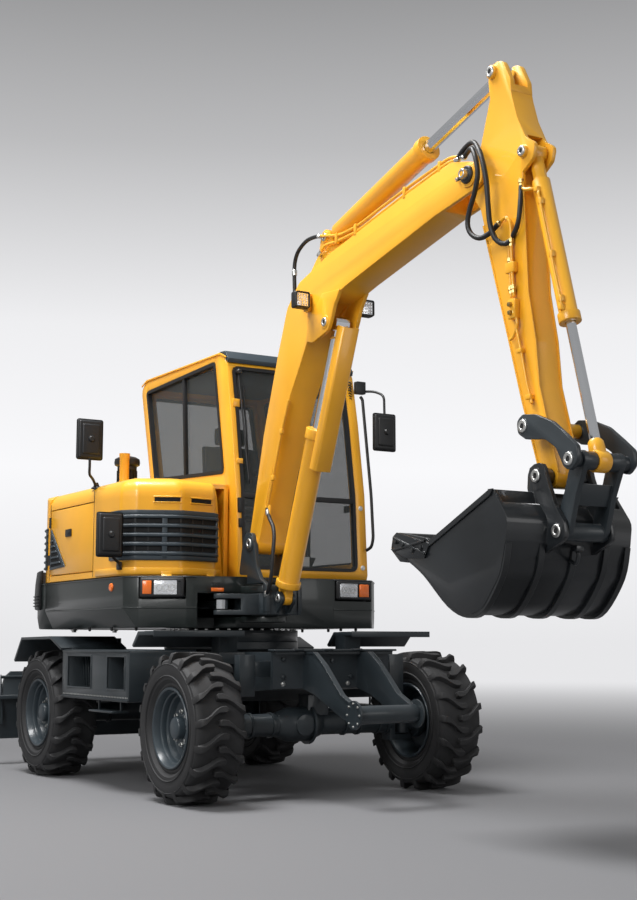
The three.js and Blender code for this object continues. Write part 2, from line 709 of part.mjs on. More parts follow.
const boomSide = [
  [-665, 1505, 30], [-701, 1578], [-865, 2167], [-1027, 2607, 60], [-1146, 2896, 80], [-1284, 3023, 80], [-1647, 3123],
  [-1894, 3168], [-2392, 3257], [-2804, 3319], [-2943, 3281, 50], [-3058, 3244, 50], [-3060, 3138, 50], [-2940, 3118],
  [-2655, 3074], [-2105, 2957], [-1849, 2905], [-1569, 2836, 60], [-1458, 2752, 60], [-1401, 2685], [-1298, 2523, 80],
  [-1175, 2345], [-972, 1931], [-801, 1487, 30], [-727, 1434, 40],
];
const boomCylEar = [
  [-1380, 2650], [-1447, 2629, 20], [-1547, 2652, 40], [-1624, 2672, 50], [-1660, 2735, 50], [-1689, 2805, 40],
  [-1750, 2884], [-1560, 2900], [-1400, 2760],
];
const armCylEar = [
  [-1330, 3030], [-1470, 3160, 40], [-1500, 3290, 45], [-1585, 3290, 45], [-1612, 3185, 40], [-1900, 3180],
  [-1900, 3140], [-1700, 3090],
];
const boomBody = cut(
  join(
    sidePlate(boomSide, boomX - boomHalf, boomX + boomHalf, 0),
    ...clevis(boomCylEar, 78, 100, 0),
    ...clevis(armCylEar, 45, 65, 0),
    pinX(boomFoot, boomX - 91, boomX + 91, 64, 20),
    ...bothSides(armPivot, 80, 105, 54, 18),
    ...bothSides(armPivot, 100, 143, 26, 12),
    ...bothSides(boomCylEye, 80, 104, 40, 14),
    ...bothSides(armCylFoot, 50, 72, 34, 14),
  ),
  box(boomX - 72, boomX + 72, -3300, -2721, 2900, 3500),
  pinX(boomCylEye, boomX - 62, boomX + 62, 122, 24),
);
add('boom', boomBody, yellow);
const boomLamp = (x, y, z) => {
  const face = x < boomX ? boomX - boomHalf - 0.4 : boomX + 100.4;
  return join(
    frontPlate([[x - 50, z - 50, 14], [x + 50, z - 50, 14], [x + 50, z + 50, 14], [x - 50, z + 50, 14]], y - 36, y + 36),
    box(Math.min(x, face), Math.max(x, face), y + 4, y + 24, z - 12, z + 12),
  );
};
add('boom_light_right', boomLamp(-320, -1424, 2877), black);
add('boom_light_left', boomLamp(60, -1530, 2852), black);
const boomCylLength = 1050;
const onBoomCyl = (t) => along(boomCylFoot, boomCylEye, t);
const boomBarrel = cut(
  join(
    pinX(boomCylFoot, boomX - 25, boomX + 25, 42, 16),
    sidePlate([[-1017, 1164], [-1030, 1240], [-938, 1276], [-934, 1190], [-960, 1130, 20], [-1000, 1130, 20]],
      boomX - 25, boomX + 25, 0),
    rod([boomX, ...onBoomCyl(74)], [boomX, ...onBoomCyl(boomCylLength)], 65, 20),
    rod([boomX, ...onBoomCyl(74)], [boomX, ...onBoomCyl(110)], 76, 20),
    rod([boomX, ...onBoomCyl(boomCylLength - 60)], [boomX, ...onBoomCyl(boomCylLength)], 74, 20),
    pinX(boomCylFoot, boomX - 54, boomX + 54, 21),
  ),
  rod([boomX, ...onBoomCyl(250)], [boomX, ...onBoomCyl(boomCylLength + 20)], 38, 12),
);
add('boom_cylinder', boomBarrel, yellow);
add('boom_cylinder_rod', cylinderRod(boomCylFoot, boomCylEye, 810, 36, boomX, 45, 44), steel);
const armSide = [
  [-3098, 3561], [-3009, 3312, 40], [-2917, 3258, 40], [-2907, 3168, 40], [-2937, 3122, 40], [-3010, 3017, 40],
  [-3030, 2946], [-3213, 2320], [-3301, 2019], [-3424, 1640, 30], [-3444, 1590, 30], [-3520, 1588, 30],
  [-3540, 1640, 40], [-3420, 2073], [-3401, 2286, 60], [-3355, 2531], [-3334, 3087], [-3332, 3117], [-3411, 3168, 30],
  [-3431, 3234, 30], [-3361, 3281, 30], [-3301, 3402], [-3267, 3512], [-3256, 3561],
];
const armTop = [
  [-3098, 3551], [-3086, 3662, 40], [-3129, 3739, 50], [-3200, 3722, 40], [-3256, 3611, 30], [-3260, 3551],
];
const armBody = cut(
  join(
    sidePlate(armSide, boomX - armHalf, boomX + armHalf, 0),
    sidePlate(armTop, boomX - armHalf, boomX + armHalf, 0),
    ...bothSides(armCylEye, 60, 84, 34, 14),
    ...bothSides(bucketCylFoot, 60, 84, 30, 14),
    ...bothSides(rockerPivot, 60, 146, 34, 16),
  ),
  box(boomX - 47, boomX + 47, -3560, -3280, 3060, 3300),
  pinX(armCylEye, boomX - 40, boomX + 40, 168, 24),
);
add('arm', armBody, yellow);
add('arm_cylinder', cylinderBarrel(armCylFoot, armCylEye, 985, 62, boomX, 40, 34, 120, 70), yellow);
add('arm_cylinder_rod', cylinderRod(armCylFoot, armCylEye, 745, 34, boomX, 35), steel);
add('bucket_cylinder', cylinderBarrel(bucketCylFoot, rockerEye, 894, 44, boomX, 40, 25, 200, 150), yellow);
add('bucket_cylinder_rod', cylinderRod(bucketCylFoot, rockerEye, 784, 25, boomX, 35, 40), steel);
const rockerSide = [
  [-3396, 1840, 30], [-3388, 1900, 30], [-3432, 1925, 20], [-3516, 1915, 80], [-3630, 1868, 80], [-3720, 1799, 60],
  [-3789, 1742, 30], [-3796, 1680, 40], [-3740, 1632, 40], [-3700, 1660, 20], [-3653, 1748, 60], [-3580, 1794, 60],
  [-3450, 1808, 30],
];
add(
  'rocker_link_right',
  join(
    sidePlate(rockerSide, boomX - 178, boomX - 154, 0),
    pinX(rockerPivot, boomX - 182, boomX - 150, 34, 16),
    pinX(rockerEye, boomX - 182, boomX - 126, 34, 16),
  ),
  slate,
);
add(
  'rocker_link_left',
  join(
    sidePlate(rockerSide, boomX + 154, boomX + 178, 0),
    pinX(rockerPivot, boomX + 150, boomX + 182, 34, 16),
    pinX(rockerEye, boomX + 126, boomX + 182, 34, 16),
  ),
  slate,
);
const linkSide = [
  [-3786, 1700, 40], [-3750, 1738, 40], [-3692, 1710, 40], [-3640, 1560], [-3572, 1410, 40], [-3576, 1352, 40],
  [-3616, 1336, 40], [-3660, 1372, 40], [-3712, 1540],
];
const linkWeb = [[-3716, 1586], [-3660, 1596], [-3624, 1506], [-3682, 1494]];
add(
  'bucket_link',
  join(
    ...clevis(linkSide, 92, 120, 0),
    ...bothSides(rockerEye, 40, 121, 42, 16),
    sidePlate(linkWeb, boomX - 100, boomX + 100, 0),
    sidePlate(linkWeb, boomX - 46, boomX - 41, 0),
    pinX(bucketLink, boomX - 121, boomX + 121, 42, 18),
  ),
  slate,
);
const bucketOuter = [
  [-3463, 1569], [-3559, 1439, 60], [-3544, 1339, 80], [-3499, 1191, 120], [-3374, 1043, 120], [-3261, 1014, 120],
  [-3118, 1066, 120], [-2933, 1214], [-2799, 1293, 40], [-2719, 1371, 14], [-2720, 1427, 14], [-2958, 1384, 30],
  [-2989, 1359],
];
const bucketInner = [
  [-3445, 1640], [-3541, 1436, 70], [-3526, 1342, 70], [-3482, 1200, 110], [-3366, 1060, 110], [-3261, 1032, 110],
  [-3126, 1084, 110], [-2943, 1232], [-2809, 1311, 40], [-2740, 1500],
];
const bucketEar = [
  [-3419, 1572, 20], [-3430, 1690, 50], [-3530, 1700, 50], [-3545, 1640, 40], [-3605, 1498, 60], [-3660, 1425, 40],
  [-3672, 1350, 40], [-3620, 1325, 40], [-3530, 1290], [-3500, 1450], [-3463, 1560],
];
const bucket = join(
  cut(
    sidePlate(bucketOuter, bucketRight, bucketLeft, 0),
    sidePlate(bucketInner, bucketRight + 20, bucketLeft - 20, 0),
  ),
  ...clevis(bucketEar, 126, 149, 0),
  ...bothSides(bucketPivot, 72, 127, 40, 16),
  ...bothSides(bucketPivot, 140, 152, 34, 14),
  ...bothSides(bucketLink, 140, 152, 34, 14),
  sidePlate([[-3463, 1569], [-3424, 1574], [-3440, 1540], [-3480, 1512]], bucketRight, bucketLeft, 0),
);
add('bucket', bucket, slate);

export default (() => {
  const group = new THREE.Group();
  group.name = 'wheeled_excavator';
  for (const mesh of parts) {
    group.add(mesh);
  }
  return group;
})();
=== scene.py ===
import json
import math
import bpy
from mathutils import Matrix, Vector


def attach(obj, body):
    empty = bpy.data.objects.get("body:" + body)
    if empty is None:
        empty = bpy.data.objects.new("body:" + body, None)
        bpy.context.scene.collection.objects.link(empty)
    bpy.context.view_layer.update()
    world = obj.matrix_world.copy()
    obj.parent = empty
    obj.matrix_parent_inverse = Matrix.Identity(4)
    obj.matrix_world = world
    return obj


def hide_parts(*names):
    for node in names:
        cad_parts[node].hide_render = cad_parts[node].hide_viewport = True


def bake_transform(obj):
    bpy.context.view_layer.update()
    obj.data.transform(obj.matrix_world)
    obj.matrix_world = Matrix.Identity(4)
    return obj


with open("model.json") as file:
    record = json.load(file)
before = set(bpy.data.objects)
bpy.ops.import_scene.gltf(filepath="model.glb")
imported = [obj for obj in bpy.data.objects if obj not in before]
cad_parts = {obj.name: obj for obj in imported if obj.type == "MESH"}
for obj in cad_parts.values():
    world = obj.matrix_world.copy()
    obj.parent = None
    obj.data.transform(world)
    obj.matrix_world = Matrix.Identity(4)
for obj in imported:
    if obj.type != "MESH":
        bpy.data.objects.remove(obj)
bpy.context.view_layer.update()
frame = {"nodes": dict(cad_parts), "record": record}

originShift = 852.5  # mm from the slewing axis to the frame's origin, along y
boomX = -150  # middle of the boom and arm, mm


def mm(x, y, z):
    # a place on the machine in mm, as a point of the frame in metres
    return Vector((x / 1000, (y + originShift) / 1000, z / 1000))


def deselectAll():
    for each in list(bpy.context.selected_objects):
        each.select_set(False)


def choose(piece):
    deselectAll()
    piece.select_set(True)
    bpy.context.view_layer.objects.active = piece


def editAll(piece):
    choose(piece)
    bpy.ops.object.mode_set(mode="EDIT")
    bpy.ops.mesh.select_all(action="SELECT")


def leaveEdit():
    bpy.ops.object.mode_set(mode="OBJECT")


# surfaces
def surface(name, tone, settings):
    # painted, rubber and metal surfaces: a tone with broad and fine variation, wear, and a paler tone
    # on upward faces that is dust and painted top light
    made = bpy.data.materials.new(name)
    made.use_nodes = True
    nodes = made.node_tree.nodes
    links = made.node_tree.links
    shader = nodes["Principled BSDF"]
    shader.inputs["Metallic"].default_value = settings.get("metallic", 0)
    shader.inputs["Coat Weight"].default_value = settings.get("coat", 0)
    shader.inputs["Coat Roughness"].default_value = settings.get("coatRough", 0.08)
    shader.inputs["IOR"].default_value = settings.get("ior", 1.45)
    shader.inputs["Transmission Weight"].default_value = settings.get("clear", 0)
    shader.inputs["Alpha"].default_value = settings.get("alpha", 1)
    shader.inputs["Sheen Weight"].default_value = settings.get("sheen", 0)
    place = nodes.new("ShaderNodeTexCoord")
    broad = nodes.new("ShaderNodeTexNoise")
    broad.inputs["Scale"].default_value = settings.get("broad", 3)
    broad.inputs["Detail"].default_value = 6
    links.new(place.outputs["Object"], broad.inputs["Vector"])
    ramp = nodes.new("ShaderNodeValToRGB")
    spread = settings.get("spread", 0.06)
    ramp.color_ramp.elements[0].position = 0.35
    ramp.color_ramp.elements[1].position = 0.7
    ramp.color_ramp.elements[0].color = [max(0, c * (1 - spread)) for c in tone] + [1]
    ramp.color_ramp.elements[1].color = [min(1, c * (1 + spread)) for c in tone] + [1]
    links.new(broad.outputs["Fac"], ramp.inputs["Fac"])
    colour = ramp.outputs["Color"]
    # upward faces blend toward a second, paler tone: dust and painted top light, a painted highlight
    # from the light above
    if settings.get("dustAndTopLight"):
        geometry = nodes.new("ShaderNodeNewGeometry")
        facing = nodes.new("ShaderNodeSeparateXYZ")
        links.new(geometry.outputs["Normal"], facing.inputs["Vector"])
        upward = nodes.new("ShaderNodeMapRange")
        upward.inputs["From Min"].default_value = 0.1
        upward.inputs["From Max"].default_value = 1.0
        upward.inputs["To Max"].default_value = settings["dustAndTopLight"]
        links.new(facing.outputs["Z"], upward.inputs["Value"])
        blend = nodes.new("ShaderNodeMixRGB")
        blend.inputs["Color2"].default_value = settings["dustAndTopLightTone"] + [1]
        links.new(upward.outputs["Result"], blend.inputs["Fac"])
        links.new(colour, blend.inputs["Color1"])
        colour = blend.outputs["Color"]
    links.new(colour, shader.inputs["Base Color"])
    rough = nodes.new("ShaderNodeMapRange")
    low, high = settings.get("rough", (0.3, 0.4))
    rough.inputs["To Min"].default_value = low
    rough.inputs["To Max"].default_value = high
    links.new(broad.outputs["Fac"], rough.inputs["Value"])
    links.new(rough.outputs["Result"], shader.inputs["Roughness"])
    fine = nodes.new("ShaderNodeTexNoise")
    fine.inputs["Scale"].default_value = settings.get("fine", 220)
    fine.inputs["Detail"].default_value = 3
    links.new(place.outputs["Object"], fine.inputs["Vector"])
    bump = nodes.new("ShaderNodeBump")
    bump.inputs["Strength"].default_value = settings.get("bump", 0.06)
    bump.inputs["Distance"].default_value = settings.get("bumpDeep", 0.002)
    links.new(fine.outputs["Fac"], bump.inputs["Height"])
    if settings.get("edge"):
        edge = nodes.new("ShaderNodeBevel")
        edge.samples = 3
        edge.inputs["Radius"].default_value = settings["edge"]
        links.new(edge.outputs["Normal"], bump.inputs["Normal"])
    links.new(bump.outputs["Normal"], shader.inputs["Normal"])
    return made


yellowTone = (0.83, 0.39, 0.018)
slateTone = (0.02, 0.0265, 0.031)
# upward faces blend to a brighter yellow: a painted highlight of the light from above
yellow = surface("yellow_paint", yellowTone, {
    "rough": (0.3, 0.4), "coat": 0.35, "coatRough": 0.12, "edge": 0.005, "bump": 0.035,
    "spread": 0.05, "dustAndTopLight": 0.4, "dustAndTopLightTone": [0.93, 0.6, 0.06]})
# upward faces blend to a paler grey: dust and painted top light
slate = surface("slate_paint", slateTone, {
    "rough": (0.34, 0.46), "coat": 0.15, "edge": 0.004, "bump": 0.05, "spread": 0.15, "dustAndTopLight": 0.2,
    "dustAndTopLightTone": [0.05, 0.06, 0.07]})
skirtPaint = surface(
    "skirt_paint", (0.013, 0.0175, 0.0165),
    {"rough": (0.28, 0.4), "coat": 0.25, "edge": 0.004, "bump": 0.04, "spread": 0.15})
grilleGrey = surface(
    "grille_grey", (0.03, 0.042, 0.052), {"rough": (0.36, 0.46), "bump": 0.08, "spread": 0.1})
bucketPaint = surface(
    "bucket_paint", (0.0095, 0.0115, 0.0135),
    {"rough": (0.26, 0.4), "coat": 0.3, "edge": 0.004, "bump": 0.06, "spread": 0.25})
wheelPaint = surface(
    "wheel_paint", (0.032, 0.044, 0.053), {"rough": (0.3, 0.42), "coat": 0.15, "spread": 0.15})
# upward faces blend to a paler grey: dust and painted top light
rubber = surface("tyre_rubber", (0.021, 0.021, 0.022), {
    "rough": (0.62, 0.8), "bump": 0.25, "fine": 160, "spread": 0.25, "dustAndTopLight": 0.3,
    "dustAndTopLightTone": [0.085, 0.085, 0.088]})
sealRubber = surface("seal_rubber", (0.008, 0.008, 0.009), {"rough": (0.5, 0.62), "bump": 0.1})
hoseRubber = surface(
    "hose_rubber", (0.01, 0.01, 0.011), {"rough": (0.4, 0.55), "bump": 0.35, "fine": 420})
chrome = surface(
    "chrome_rod", (0.78, 0.8, 0.83),
    {"metallic": 1, "rough": (0.09, 0.16), "bump": 0.01, "spread": 0.02})
zinc = surface(
    "zinc_fitting", (0.62, 0.62, 0.6),
    {"metallic": 1, "rough": (0.25, 0.4), "bump": 0.1, "spread": 0.1})
brass = surface(
    "brass_fitting", (0.5, 0.36, 0.14),
    {"metallic": 1, "rough": (0.3, 0.45), "bump": 0.1, "spread": 0.2})
plastic = surface(
    "black_plastic", (0.012, 0.0125, 0.0135), {"rough": (0.38, 0.5), "bump": 0.15, "fine": 500})
# near-black material for sheets that stand in for the shade inside openings and recesses: painted
# shade
paintedShadeBlack = surface("painted_shade_black", (0.004, 0.004, 0.0045), {"rough": (0.7, 0.85), "bump": 0.2})
mirrorGlass = surface(
    "mirror_glass", (0.72, 0.75, 0.78),
    {"metallic": 1, "rough": (0.02, 0.04), "bump": 0.0, "spread": 0.01})
lampReflector = surface(
    "lamp_reflector", (0.82, 0.83, 0.85),
    {"metallic": 0.7, "rough": (0.12, 0.25), "bump": 0.4, "fine": 60})
orangeLens = surface(
    "orange_lens", (0.85, 0.17, 0.015),
    {"rough": (0.15, 0.25), "coat": 0.6, "bump": 0.3, "fine": 90})
whitePlate = surface("white_plate", (0.72, 0.72, 0.7), {"rough": (0.35, 0.45), "bump": 0.03})
cloth = surface(
    "seat_cloth", (0.02, 0.022, 0.026),
    {"rough": (0.8, 0.95), "sheen": 0.4, "bump": 0.6, "fine": 900, "spread": 0.25, "broad": 30})
iron = surface(
    "engine_iron", (0.06, 0.065, 0.07),
    {"rough": (0.5, 0.65), "metallic": 0.6, "bump": 0.5, "fine": 60})


def tintedPane(name, tone, opacity):
    # see-through glass with a tint
    made = surface(
        name, tone,
        {"rough": (0.02, 0.05), "bump": 0.0, "coat": 0.4, "alpha": opacity, "spread": 0.05})
    return made


glassPane = tintedPane("tinted_glass", (0.045, 0.052, 0.052), 0.4)
lampGlass = tintedPane("lamp_glass", (0.8, 0.82, 0.85), 0.3)
nodePaint = {
    "slate_paint": slate, "tyre_rubber": rubber, "wheel_paint": wheelPaint,
    "black_paint": skirtPaint, "yellow_paint": yellow, "chrome_rod": chrome,
    "tinted_glass": glassPane, "seat_cloth": cloth, "black_plastic": plastic,
    "lamp_glass": lampGlass, "engine_iron": iron}
nodeOwn = {
    "bucket": bucketPaint, "toolbox_left": slate, "toolbox_right": slate,
    "fender_front_left": slate, "fender_front_right": slate}
for part in frame["record"]["subparts"]:
    node = frame["nodes"][part["node"]]
    paint = nodeOwn.get(part["node"], nodePaint[part["material_slot"]])
    node.data.materials.clear()
    node.data.materials.append(paint)
print("surfaces ready")


# shaping helpers
def roundEdges(piece, width, segments=2, angle=35):
    # breaks the sharp edges of a piece, width in mm
    choose(piece)
    soft = piece.modifiers.new("soft_edges", "BEVEL")
    soft.width = width / 1000
    soft.segments = segments
    soft.limit_method = "ANGLE"
    soft.angle_limit = math.radians(angle)
    soft.harden_normals = False
    bpy.ops.object.modifier_apply(modifier=soft.name)
    return piece


def block(low, high, edge=3, segments=2):
    # a box between two corners with broken edges
    deselectAll()
    bpy.ops.mesh.primitive_cube_add(size=1, location=(0, 0, 0))
    made = bpy.context.object
    size = mm(*high) - mm(*low)
    bpy.ops.object.mode_set(mode="EDIT")
    bpy.ops.transform.resize(value=(abs(size.x), abs(size.y), abs(size.z)))
    bpy.ops.transform.translate(value=(mm(*high) + mm(*low)) / 2)
    if edge:
        bpy.ops.mesh.bevel(offset=edge / 1000, segments=segments, affect="EDGES")
    leaveEdit()
    return made


def slab(points, plane, start, end, edge=2, segments=2):
    # a flat outline in mm drawn out along x, y or z
    deselectAll()
    bpy.ops.mesh.primitive_circle_add(vertices=len(points), fill_type="NGON")
    made = bpy.context.object
    spread = {
        "x": lambda p: mm(start, p[0], p[1]), "y": lambda p: mm(p[0], start, p[1]),
        "z": lambda p: mm(p[0], p[1], start)}[plane]
    for vertex, p in zip(made.data.vertices, points):
        vertex.co = spread(p)
    reach = (end - start) / 1000
    travel = {"x": (reach, 0, 0), "y": (0, reach, 0), "z": (0, 0, reach)}[plane]
    editAll(made)
    bpy.ops.mesh.extrude_region_move(TRANSFORM_OT_translate={"value": travel})
    bpy.ops.mesh.select_all(action="SELECT")
    bpy.ops.mesh.normals_make_consistent(inside=False)
    leaveEdit()
    if edge:
        roundEdges(made, edge, segments, 25)
    return made


def turned(outline, start, toward, steps=32):
    # a closed outline of (radius, distance) in mm spun about the line from start toward a second point
    deselectAll()
    bpy.ops.mesh.primitive_circle_add(vertices=len(outline), fill_type="NOTHING")
    made = bpy.context.object
    for vertex, p in zip(made.data.vertices, outline):
        vertex.co = (p[0] / 1000, 0, p[1] / 1000)
    editAll(made)
    bpy.ops.mesh.spin(steps=steps, angle=2 * math.pi, center=(0, 0, 0), axis=(0, 0, 1))
    bpy.ops.mesh.select_all(action="SELECT")
    bpy.ops.mesh.remove_doubles(threshold=0.00002)
    bpy.ops.mesh.dissolve_degenerate(threshold=0.00001)
    bpy.ops.mesh.select_all(action="SELECT")
    bpy.ops.mesh.normals_make_consistent(inside=False)
    leaveEdit()
    a = mm(*start)
    turn = (mm(*toward) - a).to_track_quat("Z", "Y").to_matrix().to_4x4()
    made.data.transform(Matrix.Translation(a) @ turn)
    return made


def loft(rows, closed=True, capped=True):
    # skin through rows of points in metres, each row with the same count
    count = len(rows[0]) + (1 if closed else 0)
    deselectAll()
    bpy.ops.mesh.primitive_grid_add(x_subdivisions=count - 1, y_subdivisions=len(rows) - 1)
    made = bpy.context.object
    flat = []
    for row in rows:
        flat.extend(list(row) + ([row[0]] if closed else []))
    for vertex, p in zip(made.data.vertices, flat):
        vertex.co = p
    editAll(made)
    bpy.ops.mesh.remove_doubles(threshold=0.000001)
    if capped:
        bpy.ops.mesh.select_all(action="DESELECT")
        bpy.ops.mesh.select_mode(type="EDGE")
        bpy.ops.mesh.select_non_manifold(
            extend=False, use_wire=False, use_multi_face=False, use_non_contiguous=False,
            use_verts=False)
        bpy.ops.mesh.edge_face_add()
    bpy.ops.mesh.select_all(action="SELECT")
    bpy.ops.mesh.normals_make_consistent(inside=False)
    bpy.ops.mesh.select_mode(type="VERT")
    leaveEdit()
    return made


def smoothPath(points, each=6):
    # a smooth line through the points
    path = []
    for i in range(len(points) - 1):
        p0 = points[max(i - 1, 0)]
        p1 = points[i]
        p2 = points[i + 1]
        p3 = points[min(i + 2, len(points) - 1)]
        for k in range(each):
            t = k / each
            path.append(0.5 * (
                2 * p1 + (p2 - p0) * t + (2 * p0 - 5 * p1 + 4 * p2 - p3) * t * t
                + (3 * p1 - p0 - 3 * p2 + p3) * t ** 3))
    path.append(points[-1])
    return path


def bentPath(points, radius, steps=5):
    # straight runs joined by round bends, as on a bent steel pipe
    path = [points[0]]
    for before, corner, after in zip(points, points[1:], points[2:]):
        reach = min(radius / 1000, (before - corner).length * 0.45, (after - corner).length * 0.45)
        a = corner + (before - corner).normalized() * reach
        b = corner + (after - corner).normalized() * reach
        for k in range(steps + 1):
            t = k / steps
            path.append(a * (1 - t) ** 2 + corner * 2 * t * (1 - t) + b * t * t)
    path.append(points[-1])
    return path


def along(path):
    # directions along a path
    made = bpy.data.curves.new("run", "CURVE")
    made.dimensions = "3D"
    line = made.splines.new("POLY")
    line.points.add(len(path) - 1)
    for point, p in zip(line.points, path):
        point.co = (p.x, p.y, p.z, 1)
    holder = bpy.data.objects.new("run", made)
    bpy.context.collection.objects.link(holder)
    return holder


def pipe(path, radius, sides=3):
    # a round tube along a path, radius in mm
    holder = along(path)
    holder.data.bevel_depth = radius / 1000
    holder.data.bevel_resolution = sides
    holder.data.use_fill_caps = True
    choose(holder)
    bpy.ops.object.convert(target="MESH")
    return bpy.context.object


def copyOf(piece, move=None):
    # a copy with its own mesh
    twin = piece.copy()
    twin.data = piece.data.copy()
    bpy.context.collection.objects.link(twin)
    if move is not None:
        twin.data.transform(move)
    return twin


def joined(pieces):
    deselectAll()
    for piece in pieces:
        piece.select_set(True)
    bpy.context.view_layer.objects.active = pieces[0]
    if len(pieces) > 1:
        bpy.ops.object.join()
    return bpy.context.view_layer.objects.active


def finished(pieces, name, body, paint, smooth=35):
    # joins pieces into one named piece with its paint, riding on its body
    piece = joined(pieces if isinstance(pieces, list) else [pieces])
    piece.name = name
    piece.data.name = name
    piece.data.materials.clear()
    piece.data.materials.append(paint)
    choose(piece)
    bpy.ops.object.shade_smooth_by_angle(angle=math.radians(smooth))
    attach(piece, body)
    return piece


# camera, floor and light
view = {"place": (-4.4135, -7.5032, 0.9), "tilt": 97.75, "turn": -31.35, "lens": 56.4}
cameraData = bpy.data.cameras.new("camera")
camera = bpy.data.objects.new("camera", cameraData)
bpy.context.collection.objects.link(camera)
camera.location = view["place"]
camera.rotation_euler = (math.radians(view["tilt"]), 0, math.radians(view["turn"]))
cameraData.sensor_width = 36
cameraData.lens = view["lens"]
cameraData.clip_end = 300
bpy.context.scene.camera = camera
bpy.context.scene.view_settings.view_transform = "Standard"

studio = {"sky": 0.36, "overhead": 900, "key": 440, "fill": 80, "horizon": 0.8}


def makeFloor():
    # plain floor whose colour pales with distance: painted shade near the machine, and far off a
    # painted glow, seen by camera, glossy and transmission rays, that blends it into the backdrop
    deselectAll()
    bpy.ops.mesh.primitive_circle_add(
        vertices=64, radius=90, fill_type="NGON", location=(0, 0, -0.001))
    floor = bpy.context.object
    bpy.ops.object.transform_apply(location=True, rotation=False, scale=False)
    floor.name = "studio_floor"
    made = bpy.data.materials.new("floor")
    made.use_nodes = True
    nodes = made.node_tree.nodes
    links = made.node_tree.links
    shader = nodes["Principled BSDF"]
    shader.inputs["Roughness"].default_value = 0.75
    shader.inputs["Specular IOR Level"].default_value = 0.25
    place = nodes.new("ShaderNodeTexCoord")
    gap = nodes.new("ShaderNodeVectorMath")
    gap.operation = "LENGTH"
    links.new(place.outputs["Object"], gap.inputs[0])
    fade = nodes.new("ShaderNodeMapRange")
    fade.interpolation_type = "SMOOTHSTEP"
    fade.inputs["From Min"].default_value = 3.5
    fade.inputs["From Max"].default_value = 14
    fade.inputs["To Min"].default_value = 0
    fade.inputs["To Max"].default_value = 1
    links.new(gap.outputs["Value"], fade.inputs["Value"])
    tones = nodes.new("ShaderNodeValToRGB")
    tones.color_ramp.elements[0].color = (0.2, 0.2, 0.208, 1)
    tones.color_ramp.elements[1].color = (0.5, 0.5, 0.515, 1)
    links.new(fade.outputs["Result"], tones.inputs["Fac"])
    links.new(tones.outputs["Color"], shader.inputs["Base Color"])
    far = nodes.new("ShaderNodeEmission")
    tone = studio["horizon"]
    far.inputs["Color"].default_value = (tone, tone, tone * 1.02, 1)
    reach = nodes.new("ShaderNodeMapRange")
    reach.interpolation_type = "SMOOTHSTEP"
    reach.inputs["From Min"].default_value = 3
    reach.inputs["From Max"].default_value = 26
    links.new(gap.outputs["Value"], reach.inputs["Value"])
    ray = nodes.new("ShaderNodeLightPath")
    seen = nodes.new("ShaderNodeMath")
    seen.operation = "ADD"
    links.new(ray.outputs["Is Camera Ray"], seen.inputs[0])
    links.new(ray.outputs["Is Glossy Ray"], seen.inputs[1])
    either = nodes.new("ShaderNodeMath")
    either.operation = "ADD"
    either.use_clamp = True
    links.new(seen.outputs["Value"], either.inputs[0])
    links.new(ray.outputs["Is Transmission Ray"], either.inputs[1])
    share = nodes.new("ShaderNodeMath")
    share.operation = "MULTIPLY"
    links.new(reach.outputs["Result"], share.inputs[0])
    links.new(either.outputs["Value"], share.inputs[1])
    mix = nodes.new("ShaderNodeMixShader")
    links.new(share.outputs["Value"], mix.inputs["Fac"])
    links.new(shader.outputs["BSDF"], mix.inputs[1])
    links.new(far.outputs["Emission"], mix.inputs[2])
    links.new(mix.outputs["Shader"], nodes["Material Output"].inputs["Surface"])
    floor.data.materials.append(made)


def makeSky():
    # pale backdrop: plain white light for lighting, while the camera sees a painted glow, brightest
    # just above the horizon and darker upward
    world = bpy.data.worlds.new("studio")
    bpy.context.scene.world = world
    world.use_nodes = True
    nodes = world.node_tree.nodes
    links = world.node_tree.links
    lightSide = nodes["Background"]
    lightSide.inputs["Color"].default_value = (1, 1, 1, 1)
    lightSide.inputs["Strength"].default_value = studio["sky"]
    seen = nodes.new("ShaderNodeBackground")
    place = nodes.new("ShaderNodeTexCoord")
    height = nodes.new("ShaderNodeSeparateXYZ")
    links.new(place.outputs["Generated"], height.inputs["Vector"])
    ramp = nodes.new("ShaderNodeValToRGB")
    tones = [(0.0, 0.8), (0.12, 0.95), (0.22, 0.86), (0.34, 0.5), (0.46, 0.26), (1.0, 0.12)]
    ramp.color_ramp.elements[0].position = tones[0][0]
    ramp.color_ramp.elements[1].position = tones[-1][0]
    for spot, tone in tones[1:-1]:
        ramp.color_ramp.elements.new(spot)
    for element, (spot, tone) in zip(ramp.color_ramp.elements, tones):
        element.color = (tone, tone, tone * 1.02, 1)
    links.new(height.outputs["Z"], ramp.inputs["Fac"])
    links.new(ramp.outputs["Color"], seen.inputs["Color"])
    seen.inputs["Strength"].default_value = 1
    ray = nodes.new("ShaderNodeLightPath")
    either = nodes.new("ShaderNodeMath")
    either.operation = "ADD"
    either.use_clamp = True
    links.new(ray.outputs["Is Camera Ray"], either.inputs[0])
    links.new(ray.outputs["Is Transmission Ray"], either.inputs[1])
    mix = nodes.new("ShaderNodeMixShader")
    links.new(either.outputs["Value"], mix.inputs["Fac"])
    links.new(lightSide.outputs["Background"], mix.inputs[1])
    links.new(seen.outputs["Background"], mix.inputs[2])
    links.new(mix.outputs["Shader"], nodes["World Output"].inputs["Surface"])


def softLight(name, place, aim, size, power):
    # a broad lamp aimed at a point
    lamp = bpy.data.lights.new(name, "AREA")
    lamp.shape = "RECTANGLE"
    lamp.size = size[0]
    lamp.size_y = size[1]
    lamp.energy = power
    holder = bpy.data.objects.new(name, lamp)
    bpy.context.collection.objects.link(holder)
    holder.location = place
    holder.rotation_euler = (Vector(aim) - Vector(place)).to_track_quat("-Z", "Y").to_euler()


